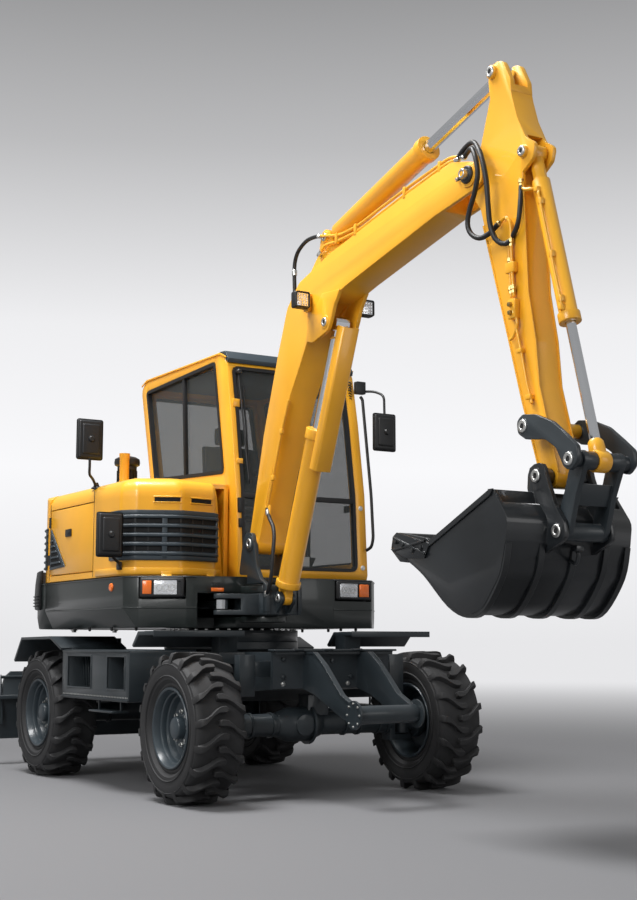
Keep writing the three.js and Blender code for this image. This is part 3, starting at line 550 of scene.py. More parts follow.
makeFloor()
makeSky()
softLight("overhead", (-2.4, 0.6, 8.5), (0, 0, 1), (3.2, 3.2), studio["overhead"])
softLight("key", (-8, -4.5, 5.5), (-0.3, -0.3, 1.6), (4, 4), studio["key"])
softLight("fill", (3, -9, 3.5), (0, -1, 1.6), (4, 3), studio["fill"])
print("studio ready")

# free hoses
# body the hose rides on, or the two bodies at its ends, outside diameter in mm, and the run in mm
freeHoses = {
    "arm_hose_front": {"diameter": 26, "bodies": ("boom", "arm"), "stiff": "stiff", "run": [
        (-237, -2905, 3312), (-246, -2950, 3328), (-268, -3010, 3322), (-285, -3060, 3262),
        (-285, -3076, 3170), (-278, -3040, 3085), (-272, -2990, 3010), (-268, -2968, 2945),
        (-264, -2992, 2890), (-258, -3052, 2856), (-250, -3120, 2866), (-243, -3172, 2896)]},
    "arm_hose_rear": {"diameter": 26, "bodies": ("boom", "arm"), "stiff": "stiff", "run": [
        (-237, -2852, 3320), (-244, -2915, 3352), (-262, -3012, 3356), (-290, -3095, 3286),
        (-300, -3140, 3200), (-296, -3158, 3100), (-290, -3160, 2990), (-284, -3166, 2890),
        (-272, -3190, 2815), (-256, -3232, 2782), (-243, -3262, 2792)]}}
freeHoses["bucket_hose"] = {"diameter": 24, "bodies": ("arm", "arm"), "stiff": "stiff", "run": [
    (-218, -3322, 3050), (-226, -3328, 3000), (-236, -3332, 2940), (-240, -3328, 2890),
    (-238, -3308, 2848), (-232, -3275, 2822), (-226, -3248, 2806)]}
freeHoses["boom_hose"] = {"diameter": 24, "bodies": ("boom", "boom"), "stiff": "stiff", "run": [
    (-188, -1160, 2918), (-188, -1146, 2980), (-188, -1140, 3050), (-188, -1138, 3120),
    (-190, -1146, 3186), (-194, -1184, 3238), (-200, -1250, 3268), (-210, -1330, 3280),
    (-220, -1420, 3274), (-225, -1496, 3262)]}
freeHoses["boom_foot_hose"] = {
    "diameter": 24, "bodies": ("swing_post", "boom"), "stiff": "stiff",
    "run": [
        (-262, -940, 1182), (-282, -1000, 1205), (-292, -1044, 1262), (-292, -1062, 1340),
        (-288, -1066, 1430), (-276, -1056, 1510), (-262, -1020, 1580), (-254, -960, 1640),
        (-250, -925, 1700)],
    "bend": ((-250, -1050, 1230), (-250, -1040, 1620))}
freeHoses["arm_hose_front"]["bend"] = ((-250, -3040, 3400), (-250, -3060, 2900))
freeHoses["arm_hose_rear"]["bend"] = ((-250, -3060, 3400), (-250, -3080, 2860))


def lengthOf(path):
    return sum((b - a).length for a, b in zip(path, path[1:]))


def makeFreeHoses():
    # hoses with both ends fixed
    for name, facts in freeHoses.items():
        rough = smoothPath([mm(*p) for p in facts["run"]], 8)
        total = lengthOf(rough)
        count = 36
        even = [rough[0]]
        walked = 0
        for a, b in zip(rough, rough[1:]):
            step = (b - a).length
            while len(even) < count and walked + step >= total * len(even) / count:
                even.append(a.lerp(b, (total * len(even) / count - walked) / step))
            walked += step
        even.append(rough[-1])
        hose = pipe(even, facts["diameter"] / 2, 4)
        hose.name = name
        hose.data.name = name
        hose.data.materials.clear()
        hose.data.materials.append(hoseRubber)
        choose(hose)
        bpy.ops.object.shade_smooth()
        if facts["bodies"][0] == facts["bodies"][1]:
            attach(hose, facts["bodies"][0])
        else:
            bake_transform(hose)


makeFreeHoses()
print("free hoses made")


# wheels
tyre = {"lugs": 18, "base": 388, "crown": 423.4, "half": 150}


def makeWheels():
    # one tyre, dish, hub and ring of nuts, copied to the four wheels
    carcass = turned([
        (214, -113), (222, -122), (240, -128), (252, -124), (270, -143), (320, -152), (350, -152),
        (372, -145), (382, -134), (387, -112), (389, -60), (389, 60), (387, 112), (382, 134),
        (372, 145), (350, 152), (320, 152), (270, 143), (252, 124), (240, 128), (222, 122),
        (214, 113)], (0, -originShift, 0), (1, -originShift, 0), 72)
    rings = [
        turned(
            [(r, s * 149), (r + 5, s * 154), (r + 10, s * 149)], (0, -originShift, 0),
            (1, -originShift, 0), 72)
        for r in (286, 352) for s in (-1, 1)]
    centre = [
        (356, 153, 0, 17), (392, 147, 2, 20), (416, 135, 6, 20), (422, 112, 12, 20),
        (423, 84, 32, 20), (423.4, 54, 58, 19), (423.4, 28, 74, 17), (423.4, 8, 78, 17),
        (423.4, -16, 78, 17), (423, -27, 78, 11)]
    rows = []
    for i, (top, x, s, half) in enumerate(centre):
        low = max(min(top - 6, tyre["base"] - 3), 340)
        nextOne = centre[min(i + 1, len(centre) - 1)]
        prior = centre[max(i - 1, 0)]
        dx = nextOne[1] - prior[1]
        ds = nextOne[2] - prior[2]
        size = max(math.hypot(dx, ds), 1)
        ax, az = -ds / size * -1, -dx / size
        row = []
        for sign, radius, widen in ((-1, low, 5), (1, low, 5), (1, top, 0), (-1, top, 0)):
            px = x + ax * sign * (half + widen) * 0.55 * (1 if i > 2 else 0)
            ps = s + az * sign * (half + widen) * -1
            angle = ps / tyre["crown"]
            row.append(Vector(
                (px / 1000, radius * math.sin(angle) / 1000, radius * math.cos(angle) / 1000)))
        rows.append(row)
    lug = loft(rows)
    roundEdges(lug, 2.5, 1, 40)
    turn = 2 * math.pi / tyre["lugs"]
    lugs = []
    for k in range(tyre["lugs"]):
        lugs.append(copyOf(lug, Matrix.Rotation(turn * k, 4, "X")))
        twin = copyOf(
            lug, Matrix.Rotation(turn * (k + 0.5), 4, "X") @ Matrix.Scale(-1, 4, (1, 0, 0)))
        editAll(twin)
        bpy.ops.mesh.normals_make_consistent(inside=False)
        leaveEdit()
        lugs.append(twin)
    bpy.data.objects.remove(lug)
    whole = joined([carcass] + rings + lugs)
    dish = turned([
        (213, -116), (226, -122), (229, -130), (223, -137), (214, -133), (206, -116), (201, -96),
        (193, -92), (191, -60), (182, -56), (178, -20), (168, -14), (140, -2), (120, -6), (62, -8),
        (62, 8), (120, 10), (142, 14), (176, 4), (190, -4), (196, 40), (200, 96), (206, 116),
        (214, 133), (223, 137), (229, 130), (226, 122),
        (213, 116)], (0, -originShift, 0), (1, -originShift, 0), 72)
    roundEdges(dish, 1.5, 1, 50)
    hub = turned([
        (0, -112), (40, -110), (58, -104), (62, -96), (64, -60), (82, -54), (112, -50), (116, -40),
        (116, -16), (0, -16)], (0, -originShift, 0), (1, -originShift, 0), 40)
    roundEdges(hub, 1.5, 1, 40)
    nuts = []
    for k in range(8):
        angle = 2 * math.pi * k / 8
        y, z = 92 * math.cos(angle), 92 * math.sin(angle)
        nuts.append(turned(
            [(0, -72), (8, -72), (9, -66), (9, -62), (15, -61), (15, -48), (0, -48)],
            (0, y - originShift, z), (1, y - originShift, z), 6))
    slots = []
    for side, sx in (("left", 1), ("right", -1)):
        for end, sy in (("front", -1), ("rear", 1)):
            place = Matrix.Translation(mm(sx * 810, sy * 1053, 420))
            if sx > 0:
                place = place @ Matrix.Rotation(math.pi, 4, "Z")
            body = "wheel_{}_{}".format(end, side)
            rolling = finished(
                [copyOf(whole, place @ Matrix.Rotation(0.1 * sy, 4, "X"))],
                "tyre_tread_{}_{}".format(end, side), body, rubber, 30)
            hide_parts("tyre_{}_{}".format(end, side))
            rim = finished(
                [copyOf(dish, place)], "wheel_dish_{}_{}".format(end, side), body, wheelPaint,
                30)
            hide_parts("rim_{}_{}".format(end, side))
            finished(
                [copyOf(hub, place)], "hub_{}_{}".format(end, side), body, wheelPaint,
                30)
            finished(
                [copyOf(nut, place) for nut in nuts], "wheel_nuts_{}_{}".format(end, side), body,
                zinc, 30)
    for spare in [whole, dish, hub] + nuts:
        bpy.data.objects.remove(spare)


makeWheels()
print("wheels made")


# pins
# name, body, (y, z), reach from the boom's middle, radius, height of the head, in mm
pinHeads = [
    ("arm_pivot_pin", "boom", (-2955, 3206), 106, 27, 40),
    ("arm_cylinder_eye_pin", "arm", (-3124, 3687), 84, 28, 9),
    ("arm_cylinder_foot_pin", "boom", (-1540, 3246), 72, 24, 8),
    ("bucket_cylinder_foot_pin", "arm", (-3350, 3213), 84, 26, 9),
    ("boom_cylinder_eye_pin", "boom", (-1590, 2725), 104, 27, 7),
    ("boom_foot_pin", "swing_post", (-748, 1498), 128, 30, 8),
    ("boom_cylinder_foot_pin", "swing_post", (-975, 1160), 48, 26, 12),
    ("rocker_pivot_pin", "rocker", (-3434, 1870), 182, 30, 6),
    ("rocker_eye_pin", "rocker", (-3738, 1687), 182, 30, 6),
    ("bucket_pivot_pin", "bucket", (-3482, 1640), 152, 30, 6),
    ("bucket_link_pin", "bucket", (-3614, 1383), 152, 30, 6)]


def makePins():
    # ring heads with sockets on the pins of the working arm
    for name, body, (y, z), reach, radius, proud in pinHeads:
        rings = []
        socketShades = []
        for sign in (-1, 1):
            base = boomX + sign * (reach - 1)
            ring = turned([
                (radius * 0.42, 0), (radius, 0), (radius, proud * 0.75), (radius * 0.86, proud + 1),
                (radius * 0.5, proud + 1), (radius * 0.42, proud * 0.7)
            ], (base, y, z), (base + sign, y, z), 32)
            roundEdges(ring, 0.8, 1, 30)
            rings.append(ring)
            # near-black cones in the middle of the heads: painted shade in the sockets
            socketShades.append(turned([
                (0, 0), (radius * 0.44, 0), (radius * 0.44, proud * 0.6), (radius * 0.2, proud * 0.6),
                (0, proud * 0.75)], (base, y, z), (base + sign, y, z), 6))
        finished(rings, name, body, zinc, 30)
        finished(socketShades, name + "_socket", body, paintedShadeBlack, 30)


makePins()
print("pins made")


# runs along a plan
def planPath(points, steps=5):
    # flat path in mm with rounded corners where a point carries a radius
    path = []
    for i, p in enumerate(points):
        if i in (0, len(points) - 1) or len(p) < 3:
            path.append(Vector((p[0], p[1])))
            continue
        before = Vector(points[i - 1][:2]) - Vector(p[:2])
        after = Vector(points[i + 1][:2]) - Vector(p[:2])
        bend = math.pi - before.angle(after)
        reach = min(p[2] * math.tan(bend / 2), before.length * 0.45, after.length * 0.45)
        corner = Vector(p[:2])
        a = corner + before.normalized() * reach
        b = corner + after.normalized() * reach
        for k in range(steps + 1):
            t = k / steps
            path.append(a * (1 - t) ** 2 + corner * 2 * t * (1 - t) + b * t * t)
    return path


def cutPath(path, start, end):
    # the stretch of a path between two distances along it
    kept = []
    walked = 0
    for a, b in zip(path, path[1:]):
        step = (b - a).length
        if step < 0.001:
            continue
        for mark in (start, end):
            if walked <= mark < walked + step:
                kept.append(a.lerp(b, (mark - walked) / step))
        if start < walked + step < end:
            kept.append(b)
        walked += step
    return kept


def outwardNormals(path):
    # sideways directions along a flat path
    sides = []
    for i in range(len(path)):
        ahead = path[min(i + 1, len(path) - 1)] - path[max(i - 1, 0)]
        ahead.normalize()
        sides.append(Vector((ahead.y, -ahead.x)))
    return sides


def rail(path, sign, section, edge=0):
    # a section of (outward, height) in mm drawn along a flat path
    sides = outwardNormals(path)
    rows = []
    for p, n in zip(path, sides):
        rows.append([mm(p.x + n.x * sign * out, p.y + n.y * sign * out, z) for out, z in section])
    made = loft(rows)
    if edge:
        roundEdges(made, edge, 2, 40)
    return made


# hood
hoodLine = planPath([
    (-925, 160), (-925, -262, 50), (-850, -345, 60), (-600, -455, 100), (-330, -390, 60),
    (-240, -280)])
grille = {"from": 285, "to": 1120, "low": 1398, "high": 1712, "slats": 4, "border": 34, "proud": 14}
hoodVents = [(640, 800), (885, 1045)]


def lengthFlat(path):
    # length of a flat path
    return sum((b - a).length for a, b in zip(path, path[1:]))


def makeHoodTrim():
    # grille, slots, band, seams, latch and side vent of the hood
    sign = -1 if outwardNormals(hoodLine)[0].x > 0 else 1
    line = cutPath(hoodLine, grille["from"], grille["to"])
    low, high, border, proud = grille["low"], grille["high"], grille["border"], grille["proud"]
    frameParts = [
        rail(line, sign, [
            (0.5, low), (proud, low + 4), (proud, low + border - 6), (proud - 8, low + border),
            (0.5, low + border)], 2),
        rail(line, sign, [
            (0.5, high - border), (proud - 8, high - border), (proud, high - border + 6),
            (proud, high - 4), (0.5, high)], 2)]
    for start, end in (
        (grille["from"], grille["from"] + border), (grille["to"] - border, grille["to"]),
        (690, 722)):
        frameParts.append(rail(
            cutPath(hoodLine, start, end), sign,
            [(0.5, low + 4), (proud, low + 8), (proud, high - 8), (0.5, high - 4)], 2))
    finished(frameParts, "grille_frame", "upper", grilleGrey, 30)
    # a near-black sheet behind the slats: painted shade of the grille's opening
    finished(rail(
        cutPath(hoodLine, grille["from"] + 6, grille["to"] - 6), sign,
        [(0.4, low + 8), (2.5, low + 8), (2.5, high - 8), (0.4, high - 8)]
    ), "grille_shade_sheet", "upper", paintedShadeBlack, 30)
    slats = []
    room = (high - low - 2 * border) / grille["slats"]
    for k in range(grille["slats"] + 1):
        z = low + border + 6 + room * 0.93 * k
        slats.append(rail(cutPath(hoodLine, grille["from"] + 10, grille["to"] - 12), sign, [
            (2, z + 8), (proud, z - 8), (proud + 5, z - 4), (proud + 5, z + 8), (proud - 3, z + 17),
            (2, z + 19)], 1))
    uprights = []
    for at in (520, 600, 800, 890, 970):
        uprights.append(rail(
            cutPath(hoodLine, at, at + 9), sign,
            [(2, low + 30), (6, low + 30), (6, high - 30), (2, high - 30)]))
    finished(slats, "grille_slats", "upper", grilleGrey, 40)
    finished(uprights, "grille_uprights", "upper", plastic, 40)
    slots = []
    rims = []
    for start, end in hoodVents:
        # near-black strips for the slots: painted shade of their openings
        slots.append(rail(
            cutPath(hoodLine, start, end), sign,
            [(0.3, 1764), (2.2, 1766), (2.2, 1788), (0.3, 1790)], 0))
        rims.append(rail(
            cutPath(hoodLine, start - 8, end + 8), sign,
            [(0.2, 1754), (6, 1757), (6, 1763), (0.2, 1764)], 1))
        rims.append(rail(
            cutPath(hoodLine, start - 8, end + 8), sign,
            [(0.2, 1790), (6, 1791), (6, 1797), (0.2, 1800)], 1))
    finished(slots, "hood_slot_shades", "upper", paintedShadeBlack, 40)
    finished(rims, "hood_slot_rims", "upper", yellow, 40)
    band = rail(
        cutPath(hoodLine, 60, lengthFlat(hoodLine) - 2), sign,
        [(0.3, 1310), (9, 1313), (11, 1332), (9, 1352), (0.3, 1356)], 2)
    tabs = [
        rail(
            cutPath(hoodLine, at, at + 62), sign,
            [(4, 1298), (20, 1298), (20, 1303), (12, 1312), (12, 1330), (4, 1330)], 1)
        for at in (690, 1010)]
    finished([band] + tabs, "hood_lower_band", "upper", yellow, 40)
    seams = [
        block((-926.6, 156, 1312), (-924.4, 160, 1868), 0.5, 1),
        block((-926.6, 931, 1312), (-924.4, 935, 1838), 0.5, 1),]

    finished(seams, "hood_seams", "upper", sealRubber, 40)
    latch = [
        block((-934, 540, 1600), (-925, 640, 1650), 3),
        block((-938, 560, 1612), (-930, 620, 1632), 3)]
    finished(latch, "side_door_latch", "side_door", plastic, 40)
    hinge = [
        turned([(0, 0), (9, 0), (9, 70), (0, 70)], (-930, 931, z), (-930, 931, z + 1), 16)
        for z in (1420, 1680)]
    finished(hinge, "side_door_hinge", "upper", plastic, 40)
    hump = [
        turned(
            [(0, 0), (30, 0), (30, 12), (22, 20), (0, 22)], (-420, 240, 1916), (-420, 240, 1917),
            24),
        pipe(bentPath([
            mm(-520, 120, 1920), mm(-520, 120, 1952), mm(-380, 120, 1956),
            mm(-380, 120, 1924)], 18), 7)]
    finished(hump, "hood_top_handle", "upper", plastic, 40)
    # side vent with louvres on the door's rear lower corner
    outline = [(640, 1402), (915, 1388), (905, 1668)]
    rim = slab(outline, "x", -934, -925.4, 2)
    # a near-black sheet behind the louvres: painted shade of the vent's opening
    ventShade = slab([(690, 1416), (898, 1406), (890, 1622)], "x", -935.4, -933, 0)
    ribs = []
    for k in range(5):
        z = 1430 + 38 * k
        start = 690 + (z - 1416) * 0.97 + 6
        ribs.append(slab(
            [(start, z), (888, z - 4), (888, z + 10), (start + 10, z + 12)], "x", -942, -934, 1, 1))
    finished([rim] + ribs, "side_vent_frame", "side_door", grilleGrey, 40)
    finished(ventShade, "side_vent_shade", "side_door", paintedShadeBlack, 40)


tailLine = planPath([
    (-925, 962), (-905, 1060), (-850, 1180), (-760, 1320), (-640, 1450), (-480, 1545), (-250, 1600),
    (0, 1615), (250, 1600), (480, 1545), (640, 1450), (760, 1320), (850, 1180), (893, 1104)])
skirtLine = planPath([
    (-925, 1004), (-925, 1100), (-900, 1220), (-840, 1320), (-740, 1430), (-600, 1530),
    (-400, 1600), (0, 1650), (400, 1600), (600, 1530), (740, 1430), (840, 1320), (900, 1220),
    (925, 1100), (925, 1004)])


def makeTailTrim():
    # grilles, rubber corners, cover and plate at the tail
    sign = -1 if outwardNormals(tailLine)[0].x > 0 else 1
    total = lengthFlat(tailLine)
    vents = []
    grilleShades = []
    for start, end in ((20, 330), (total - 300, total - 20)):
        part = cutPath(tailLine, start, end)
        # near-black sheets behind the grille bars: painted shade of the openings
        grilleShades.append(rail(part, sign, [(0.4, 1398), (3, 1398), (3, 1672), (0.4, 1672)]))
        for z in range(1400, 1670, 44):
            vents.append(rail(
                part, sign, [(2, z), (14, z - 2), (17, z + 3), (14, z + 10), (2, z + 20)], 1))
        for a, b in ((start, start + 16), (end - 16, end)):
            vents.append(rail(
                cutPath(tailLine, a, b), sign, [(0.4, 1394), (16, 1396), (16, 1674), (0.4, 1676)],
                1))
    finished(vents, "tail_grilles", "upper", grilleGrey, 40)
    finished(grilleShades, "tail_grille_shades", "upper", paintedShadeBlack, 40)
    # ribbed rubber corners on the counterweight
    signSkirt = -1 if outwardNormals(skirtLine)[0].x > 0 else 1
    long = lengthFlat(skirtLine)
    corners = []
    for start, end in ((70, 420), (long - 420, long - 70)):
        part = cutPath(skirtLine, start, end)
        corners.append(rail(part, signSkirt, [
            (0.4, 1118), (20, 1126), (24, 1200), (20, 1300), (10, 1384), (-8, 1396), (-8, 1302),
            (0.4, 1300)], 3))
        for z in (1142, 1164, 1186, 1208):
            corners.append(
                rail(part, signSkirt, [(18, z), (32, z + 3), (32, z + 9), (18, z + 12)], 1))
    finished(corners, "tail_bumper_corners", "upper", plastic, 40)
    lip = rail(
        cutPath(skirtLine, 2, long - 2), signSkirt,
        [(0.3, 1288), (4, 1290), (4, 1297), (0.3, 1299.5)], 1)
    finished(lip, "counterweight_lip", "upper", skirtPaint, 40)
    bolts = []
    for x, y in ((-560, 1380), (-200, 1480), (200, 1480), (560, 1380)):
        bolts.append(turned(
            [(0, 0), (28, 0), (28, -6), (18, -8), (18, -20), (0, -20)], (x, y, 988), (x, y, 989),
            6))
    finished(bolts, "counterweight_bolts", "upper", zinc, 30)
    # cover furniture
    latch = [block((-40, 1601, 1440), (40, 1622, 1476), 4)]
    finished(latch, "engine_cover_latch", "engine_cover", plastic, 40)
    bars = [
        rail(
            cutPath(tailLine, total / 2 - 330, total / 2 + 330), sign,
            [(0.4, z), (7, z + 2), (7, z + 12), (0.4, z + 26)], 1)
        for z in (1560, 1600, 1640, 1680)]
    finished(bars, "engine_cover_louvres", "engine_cover", grilleGrey, 40)
    plate = slab([(-150, 1180), (150, 1180), (150, 1260), (-150, 1260)], "y", 1648, 1658, 2)
    finished(plate, "blank_plate", "upper", whitePlate, 40)
    reds = []
    for x in (-520, 520):
        lens = block((x - 55, 1568, 1180), (x + 55, 1590, 1240), 8)
        reds.append(lens)
    finished(reds, "rear_reflectors", "upper", orangeLens, 40)


def hoodRing(z, inset, wall, steps=6):
    # outline of the hood at one height; its edge beside the boom leans with height
    lean = -160 - (z - 1290) * 0.2537 - wall
    joinY = -390 + (lean + 330) * 280 / 218
    plan = [
        (-925 + inset, 952 - wall), (-925 + inset, -262 + inset * 0.6, 50),
        (-850 + inset * 0.3, -345 + inset, 60), (-600, -455 + inset, 100), (-330, -390 + inset, 60),
        (max(lean, -326), joinY + inset), (max(lean, -326), -150), (-112 - wall, -150),
        (-112 - wall, 952 - wall)]
    if lean < -330:
        plan[4] = (lean - 8, -391 + (lean + 330) * 0.24 + inset, 20)
        plan[5] = (lean, -388 + (lean + 330) * 0.24 + inset)
        plan[6] = (lean, -150)
    return [mm(p.x, p.y, z) for p in planPath(plan, steps)]


def hoodSolid(profile, wall):
    # a closed body over rings of (inset, height)
    made = loft([hoodRing(z, inset, wall) for inset, z in profile])
    editAll(made)
    bpy.ops.mesh.normals_make_consistent(inside=False)
    leaveEdit()
    return made


def taken(piece, tool):
    # cuts one piece out of another
    choose(piece)
    step = piece.modifiers.new("opening", "BOOLEAN")
    step.operation = "DIFFERENCE"
    step.solver = "EXACT"
    step.object = tool
    bpy.ops.object.modifier_apply(modifier=step.name)
    bpy.data.objects.remove(tool)
    return piece


def makeHoodShell():
    # hollow hood with a large round upper edge and the side door's opening
    outer = hoodSolid([
        (0, 1306), (0, 1790), (2, 1822), (9, 1850), (22, 1876), (42, 1896), (70, 1910), (110, 1919),
        (160, 1925)], 0)
    inner = hoodSolid(
        [(30, 1290), (30, 1780), (34, 1820), (50, 1852), (80, 1880), (120, 1892), (160, 1896)], 30)
    shell = taken(outer, inner)
    shell = taken(shell, block((-960, 164, 1345), (-885, 932, 1800), 0))
    made = finished(shell, "hood_shell", "upper", yellow, 30)
    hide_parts("hood_right")


makeHoodShell()
makeHoodTrim()
makeTailTrim()
print("hood and tail trim made")


# deck and lamps
def turnedAbout(piece, angle, x, y):
    # turns a piece about an upright line, in degrees
    centre = mm(x, y, 0)
    piece.data.transform(
        Matrix.Translation(centre) @ Matrix.Rotation(math.radians(angle), 4, "Z")
        @ Matrix.Translation(-centre))
    return piece


headlamps = {
    "right": {
        "at": (-728, -474), "turn": -30.8, "half": 136, "clear": (-48, 92), "orange": (-118, -62)},
    "left": {"at": (562, -590), "turn": 7.1, "half": 148, "clear": (-122, 20), "orange": (38, 116)},
}


def makeHeadlamps():
    # housing, bowl, rings, pane and blinker of each headlamp
    for side, facts in headlamps.items():
        x, y = facts["at"]
        half = facts["half"]
        housing = block((x - half, y - 44, 1168), (x + half, y + 24, 1289), 12, 3)
        editAll(housing)
        bpy.ops.mesh.select_all(action="DESELECT")
        leaveEdit()
        for face in housing.data.polygons:
            face.select = face.normal.y < -0.99 and face.area > 0.01
        choose(housing)
        bpy.ops.object.mode_set(mode="EDIT")
        bpy.ops.mesh.select_mode(type="FACE")
        bpy.ops.mesh.inset(thickness=0.009, depth=0)
        bpy.ops.mesh.inset(thickness=0.003, depth=-0.008)
        leaveEdit()
        housing = turnedAbout(housing, facts["turn"], x, y)
        made = finished(housing, "headlamp_housing_" + side, "upper", plastic, 40)
        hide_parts("headlamp_" + side)
        low, high = facts["clear"]
        bowl = turnedAbout(
            block((x + low, y - 42, 1184), (x + high, y - 37, 1274), 3), facts["turn"], x, y)
        finished(bowl, "headlamp_bowl_" + side, "upper", lampReflector, 40)
        rings = []
        for k in range(3):
            at = x + low + (high - low) * (0.22 + 0.28 * k)
            rings.append(turned(
                [(14, 0), (22, 0), (22, 3), (14, 3)], (at, y - 44, 1229), (at, y - 45, 1229), 24))
        finished(
            [turnedAbout(r, facts["turn"], x, y) for r in rings], "headlamp_rings_" + side, "upper",
            zinc, 40)
        pane = turnedAbout(
            block((x + low + 1, y - 52, 1185), (x + high - 1, y - 46, 1273), 3), facts["turn"], x,
            y)
        finished(pane, "headlamp_pane_" + side, "upper", lampGlass, 40)
        low, high = facts["orange"]
        blink = turnedAbout(
            block((x + low, y - 50, 1188), (x + high, y - 38, 1270), 5), facts["turn"], x, y)
        finished(blink, "headlamp_blinker_" + side, "upper", orangeLens, 40)


def makeDeckTrim():
    # skirt lips, markers, reflector, bolts and slew bearing
    line = planPath(
        [(-925, 990), (-925, -330, 40), (-860, -405, 40), (-600, -560, 60), (-545, -575)])
    sign = -1 if outwardNormals(line)[0].x > 0 else 1
    lips = [
        rail(line, sign, [(0.3, 1288), (4, 1290), (4, 1297), (0.3, 1299.5)], 1),
        rail(line, sign, [(0.3, 1100), (3, 1102), (3, 1110), (0.3, 1112)], 1)]
    other = planPath([(925, 990), (925, -290, 20), (905, -350, 40), (720, -600, 40), (400, -640)])
    sign = -1 if outwardNormals(other)[0].x < 0 else 1
    lips += [
        rail(other, sign, [(0.3, 1288), (4, 1290), (4, 1297), (0.3, 1299.5)], 1),
        rail(other, sign, [(0.3, 1100), (3, 1102), (3, 1110), (0.3, 1112)], 1)]
    finished(lips, "skirt_lips", "upper", skirtPaint, 40)
    marker = turned(
        [(0, 0), (26, 0), (26, 5), (20, 11), (0, 13)], (-925, -150, 1237), (-926, -150, 1237), 24)
    leftMarker = turned(
        [(0, 0), (26, 0), (26, 5), (20, 11), (0, 13)], (925, -150, 1237), (926, -150, 1237), 24)
    finished([marker, leftMarker], "side_markers", "upper", orangeLens, 30)
    strip = block((-475, -642, 1206), (-395, -632, 1228), 2)
    grid = [
        block((-475 + 17 * i, -641, 1240 + 15 * j), (-465 + 17 * i, -634, 1248 + 15 * j), 1, 1)
        for i in range(5) for j in range(2)]
    finished(
        turnedAbout(strip, -8, -435, -636), "deck_reflector", "upper", orangeLens, 30)
    finished(grid, "deck_grid", "upper", plastic, 30)
    # hooks and drain stubs under the skirt
    stubs = []
    for x, y in (
        (-880, 560), (-880, 300), (-880, -60), (-820, -300), (880, 560), (880, 200), (620, -560),
        (480, -600)):
        stubs.append(turned(
            [(0, 6), (10, 6), (10, -14), (6, -20), (0, -20)], (x, y, 988), (x, y, 989), 8))
    finished(stubs, "skirt_bolts", "upper", plastic, 30)
    # slew bearing under the deck
    bearing = turned(
        [(380, 850), (438, 850), (442, 856), (442, 898), (438, 904), (380, 904)], (0, 0, 0),
        (0, 0, 1), 72)
    boltRing = []
    for k in range(36):
        angle = 2 * math.pi * k / 36
        x, y = 420 * math.cos(angle), 420 * math.sin(angle)
        boltRing.append(turned(
            [(0, 972), (11, 972), (11, 982), (7, 984), (0, 984)], (x, y, 0), (x, y, 1), 6))
    finished([bearing], "bearing_collar", "chassis", slate, 30)
    finished(boltRing, "bearing_bolts", "chassis", zinc, 30)


makeHeadlamps()
makeDeckTrim()
print("deck and lamps made")


# cab
def loopSeal(points, plane, start, end, wide, edge=1.5):
    # a frame of even width that follows an outline given in mm
    n = len(points)
    inner = []
    for i in range(n):
        p = Vector(points[i])
        a = (p - Vector(points[i - 1])).normalized()
        b = (Vector(points[(i + 1) % n]) - p).normalized()
        normal = Vector((-(a.y + b.y), a.x + b.x)).normalized()
        reach = wide / max(0.3, math.sqrt((1 + a.dot(b)) / 2))
        inner.append(p + normal * reach)
    spread = {"x": lambda p, d: mm(d, p[0], p[1]), "y": lambda p, d: mm(p[0], d, p[1])}[plane]
    rows = []
    for p, q in zip(points, inner):
        rows.append([spread(p, start), spread(p, end), spread(q, end), spread(q, start)])
    rows.append(rows[0])
    made = loft(rows, closed=True, capped=False)
    if edge:
        roundEdges(made, edge, 1, 50)
    return made


def roundedLoop(points, radius, steps=4):
    # an outline with its corners rounded
    loop = []
    n = len(points)
    for i in range(n):
        p = Vector(points[i])
        before = Vector(points[i - 1]) - p
        after = Vector(points[(i + 1) % n]) - p
        reach = min(radius, before.length * 0.45, after.length * 0.45)
        a = p + before.normalized() * reach
        b = p + after.normalized() * reach
        for k in range(steps + 1):
            t = k / steps
            loop.append(tuple(a * (1 - t) ** 2 + p * 2 * t * (1 - t) + b * t * t))
    return loop


def screenY(z):
    # the front face of the cab at a height
    marks = [(1306, -276), (1900, -238), (2400, -160), (2760, -86), (2836, -10)]
    for (z0, y0), (z1, y1) in zip(marks, marks[1:]):
        if z <= z1:
            return y0 + (y1 - y0) * (z - z0) / (z1 - z0)
    return -10


def screenLoop(points, wide, lift, deep):
    # a seal that follows the curved screen; points in (x, z)
    n = len(points)
    rows = []
    for i in range(n + 1):
        p = Vector(points[i % n])
        a = (p - Vector(points[(i - 1) % n])).normalized()
        b = (Vector(points[(i + 1) % n]) - p).normalized()
        normal = Vector((-(a.y + b.y), a.x + b.x)).normalized()
        q = p + normal * wide
        rows.append([
            mm(p.x, screenY(p.y) - lift, p.y), mm(p.x, screenY(p.y) + deep, p.y),
            mm(q.x, screenY(q.y) + deep, q.y), mm(q.x, screenY(q.y) - lift, q.y)])
    return loft(rows, closed=True, capped=False)


def subdivideLoop(points, reach=60):
    # an outline with extra points on its long sides
    path = []
    for a, b in zip(points, points[1:] + points[:1]):
        count = max(1, int((Vector(b) - Vector(a)).length // reach))
        path += [tuple(Vector(a).lerp(Vector(b), k / count)) for k in range(count)]
    return path


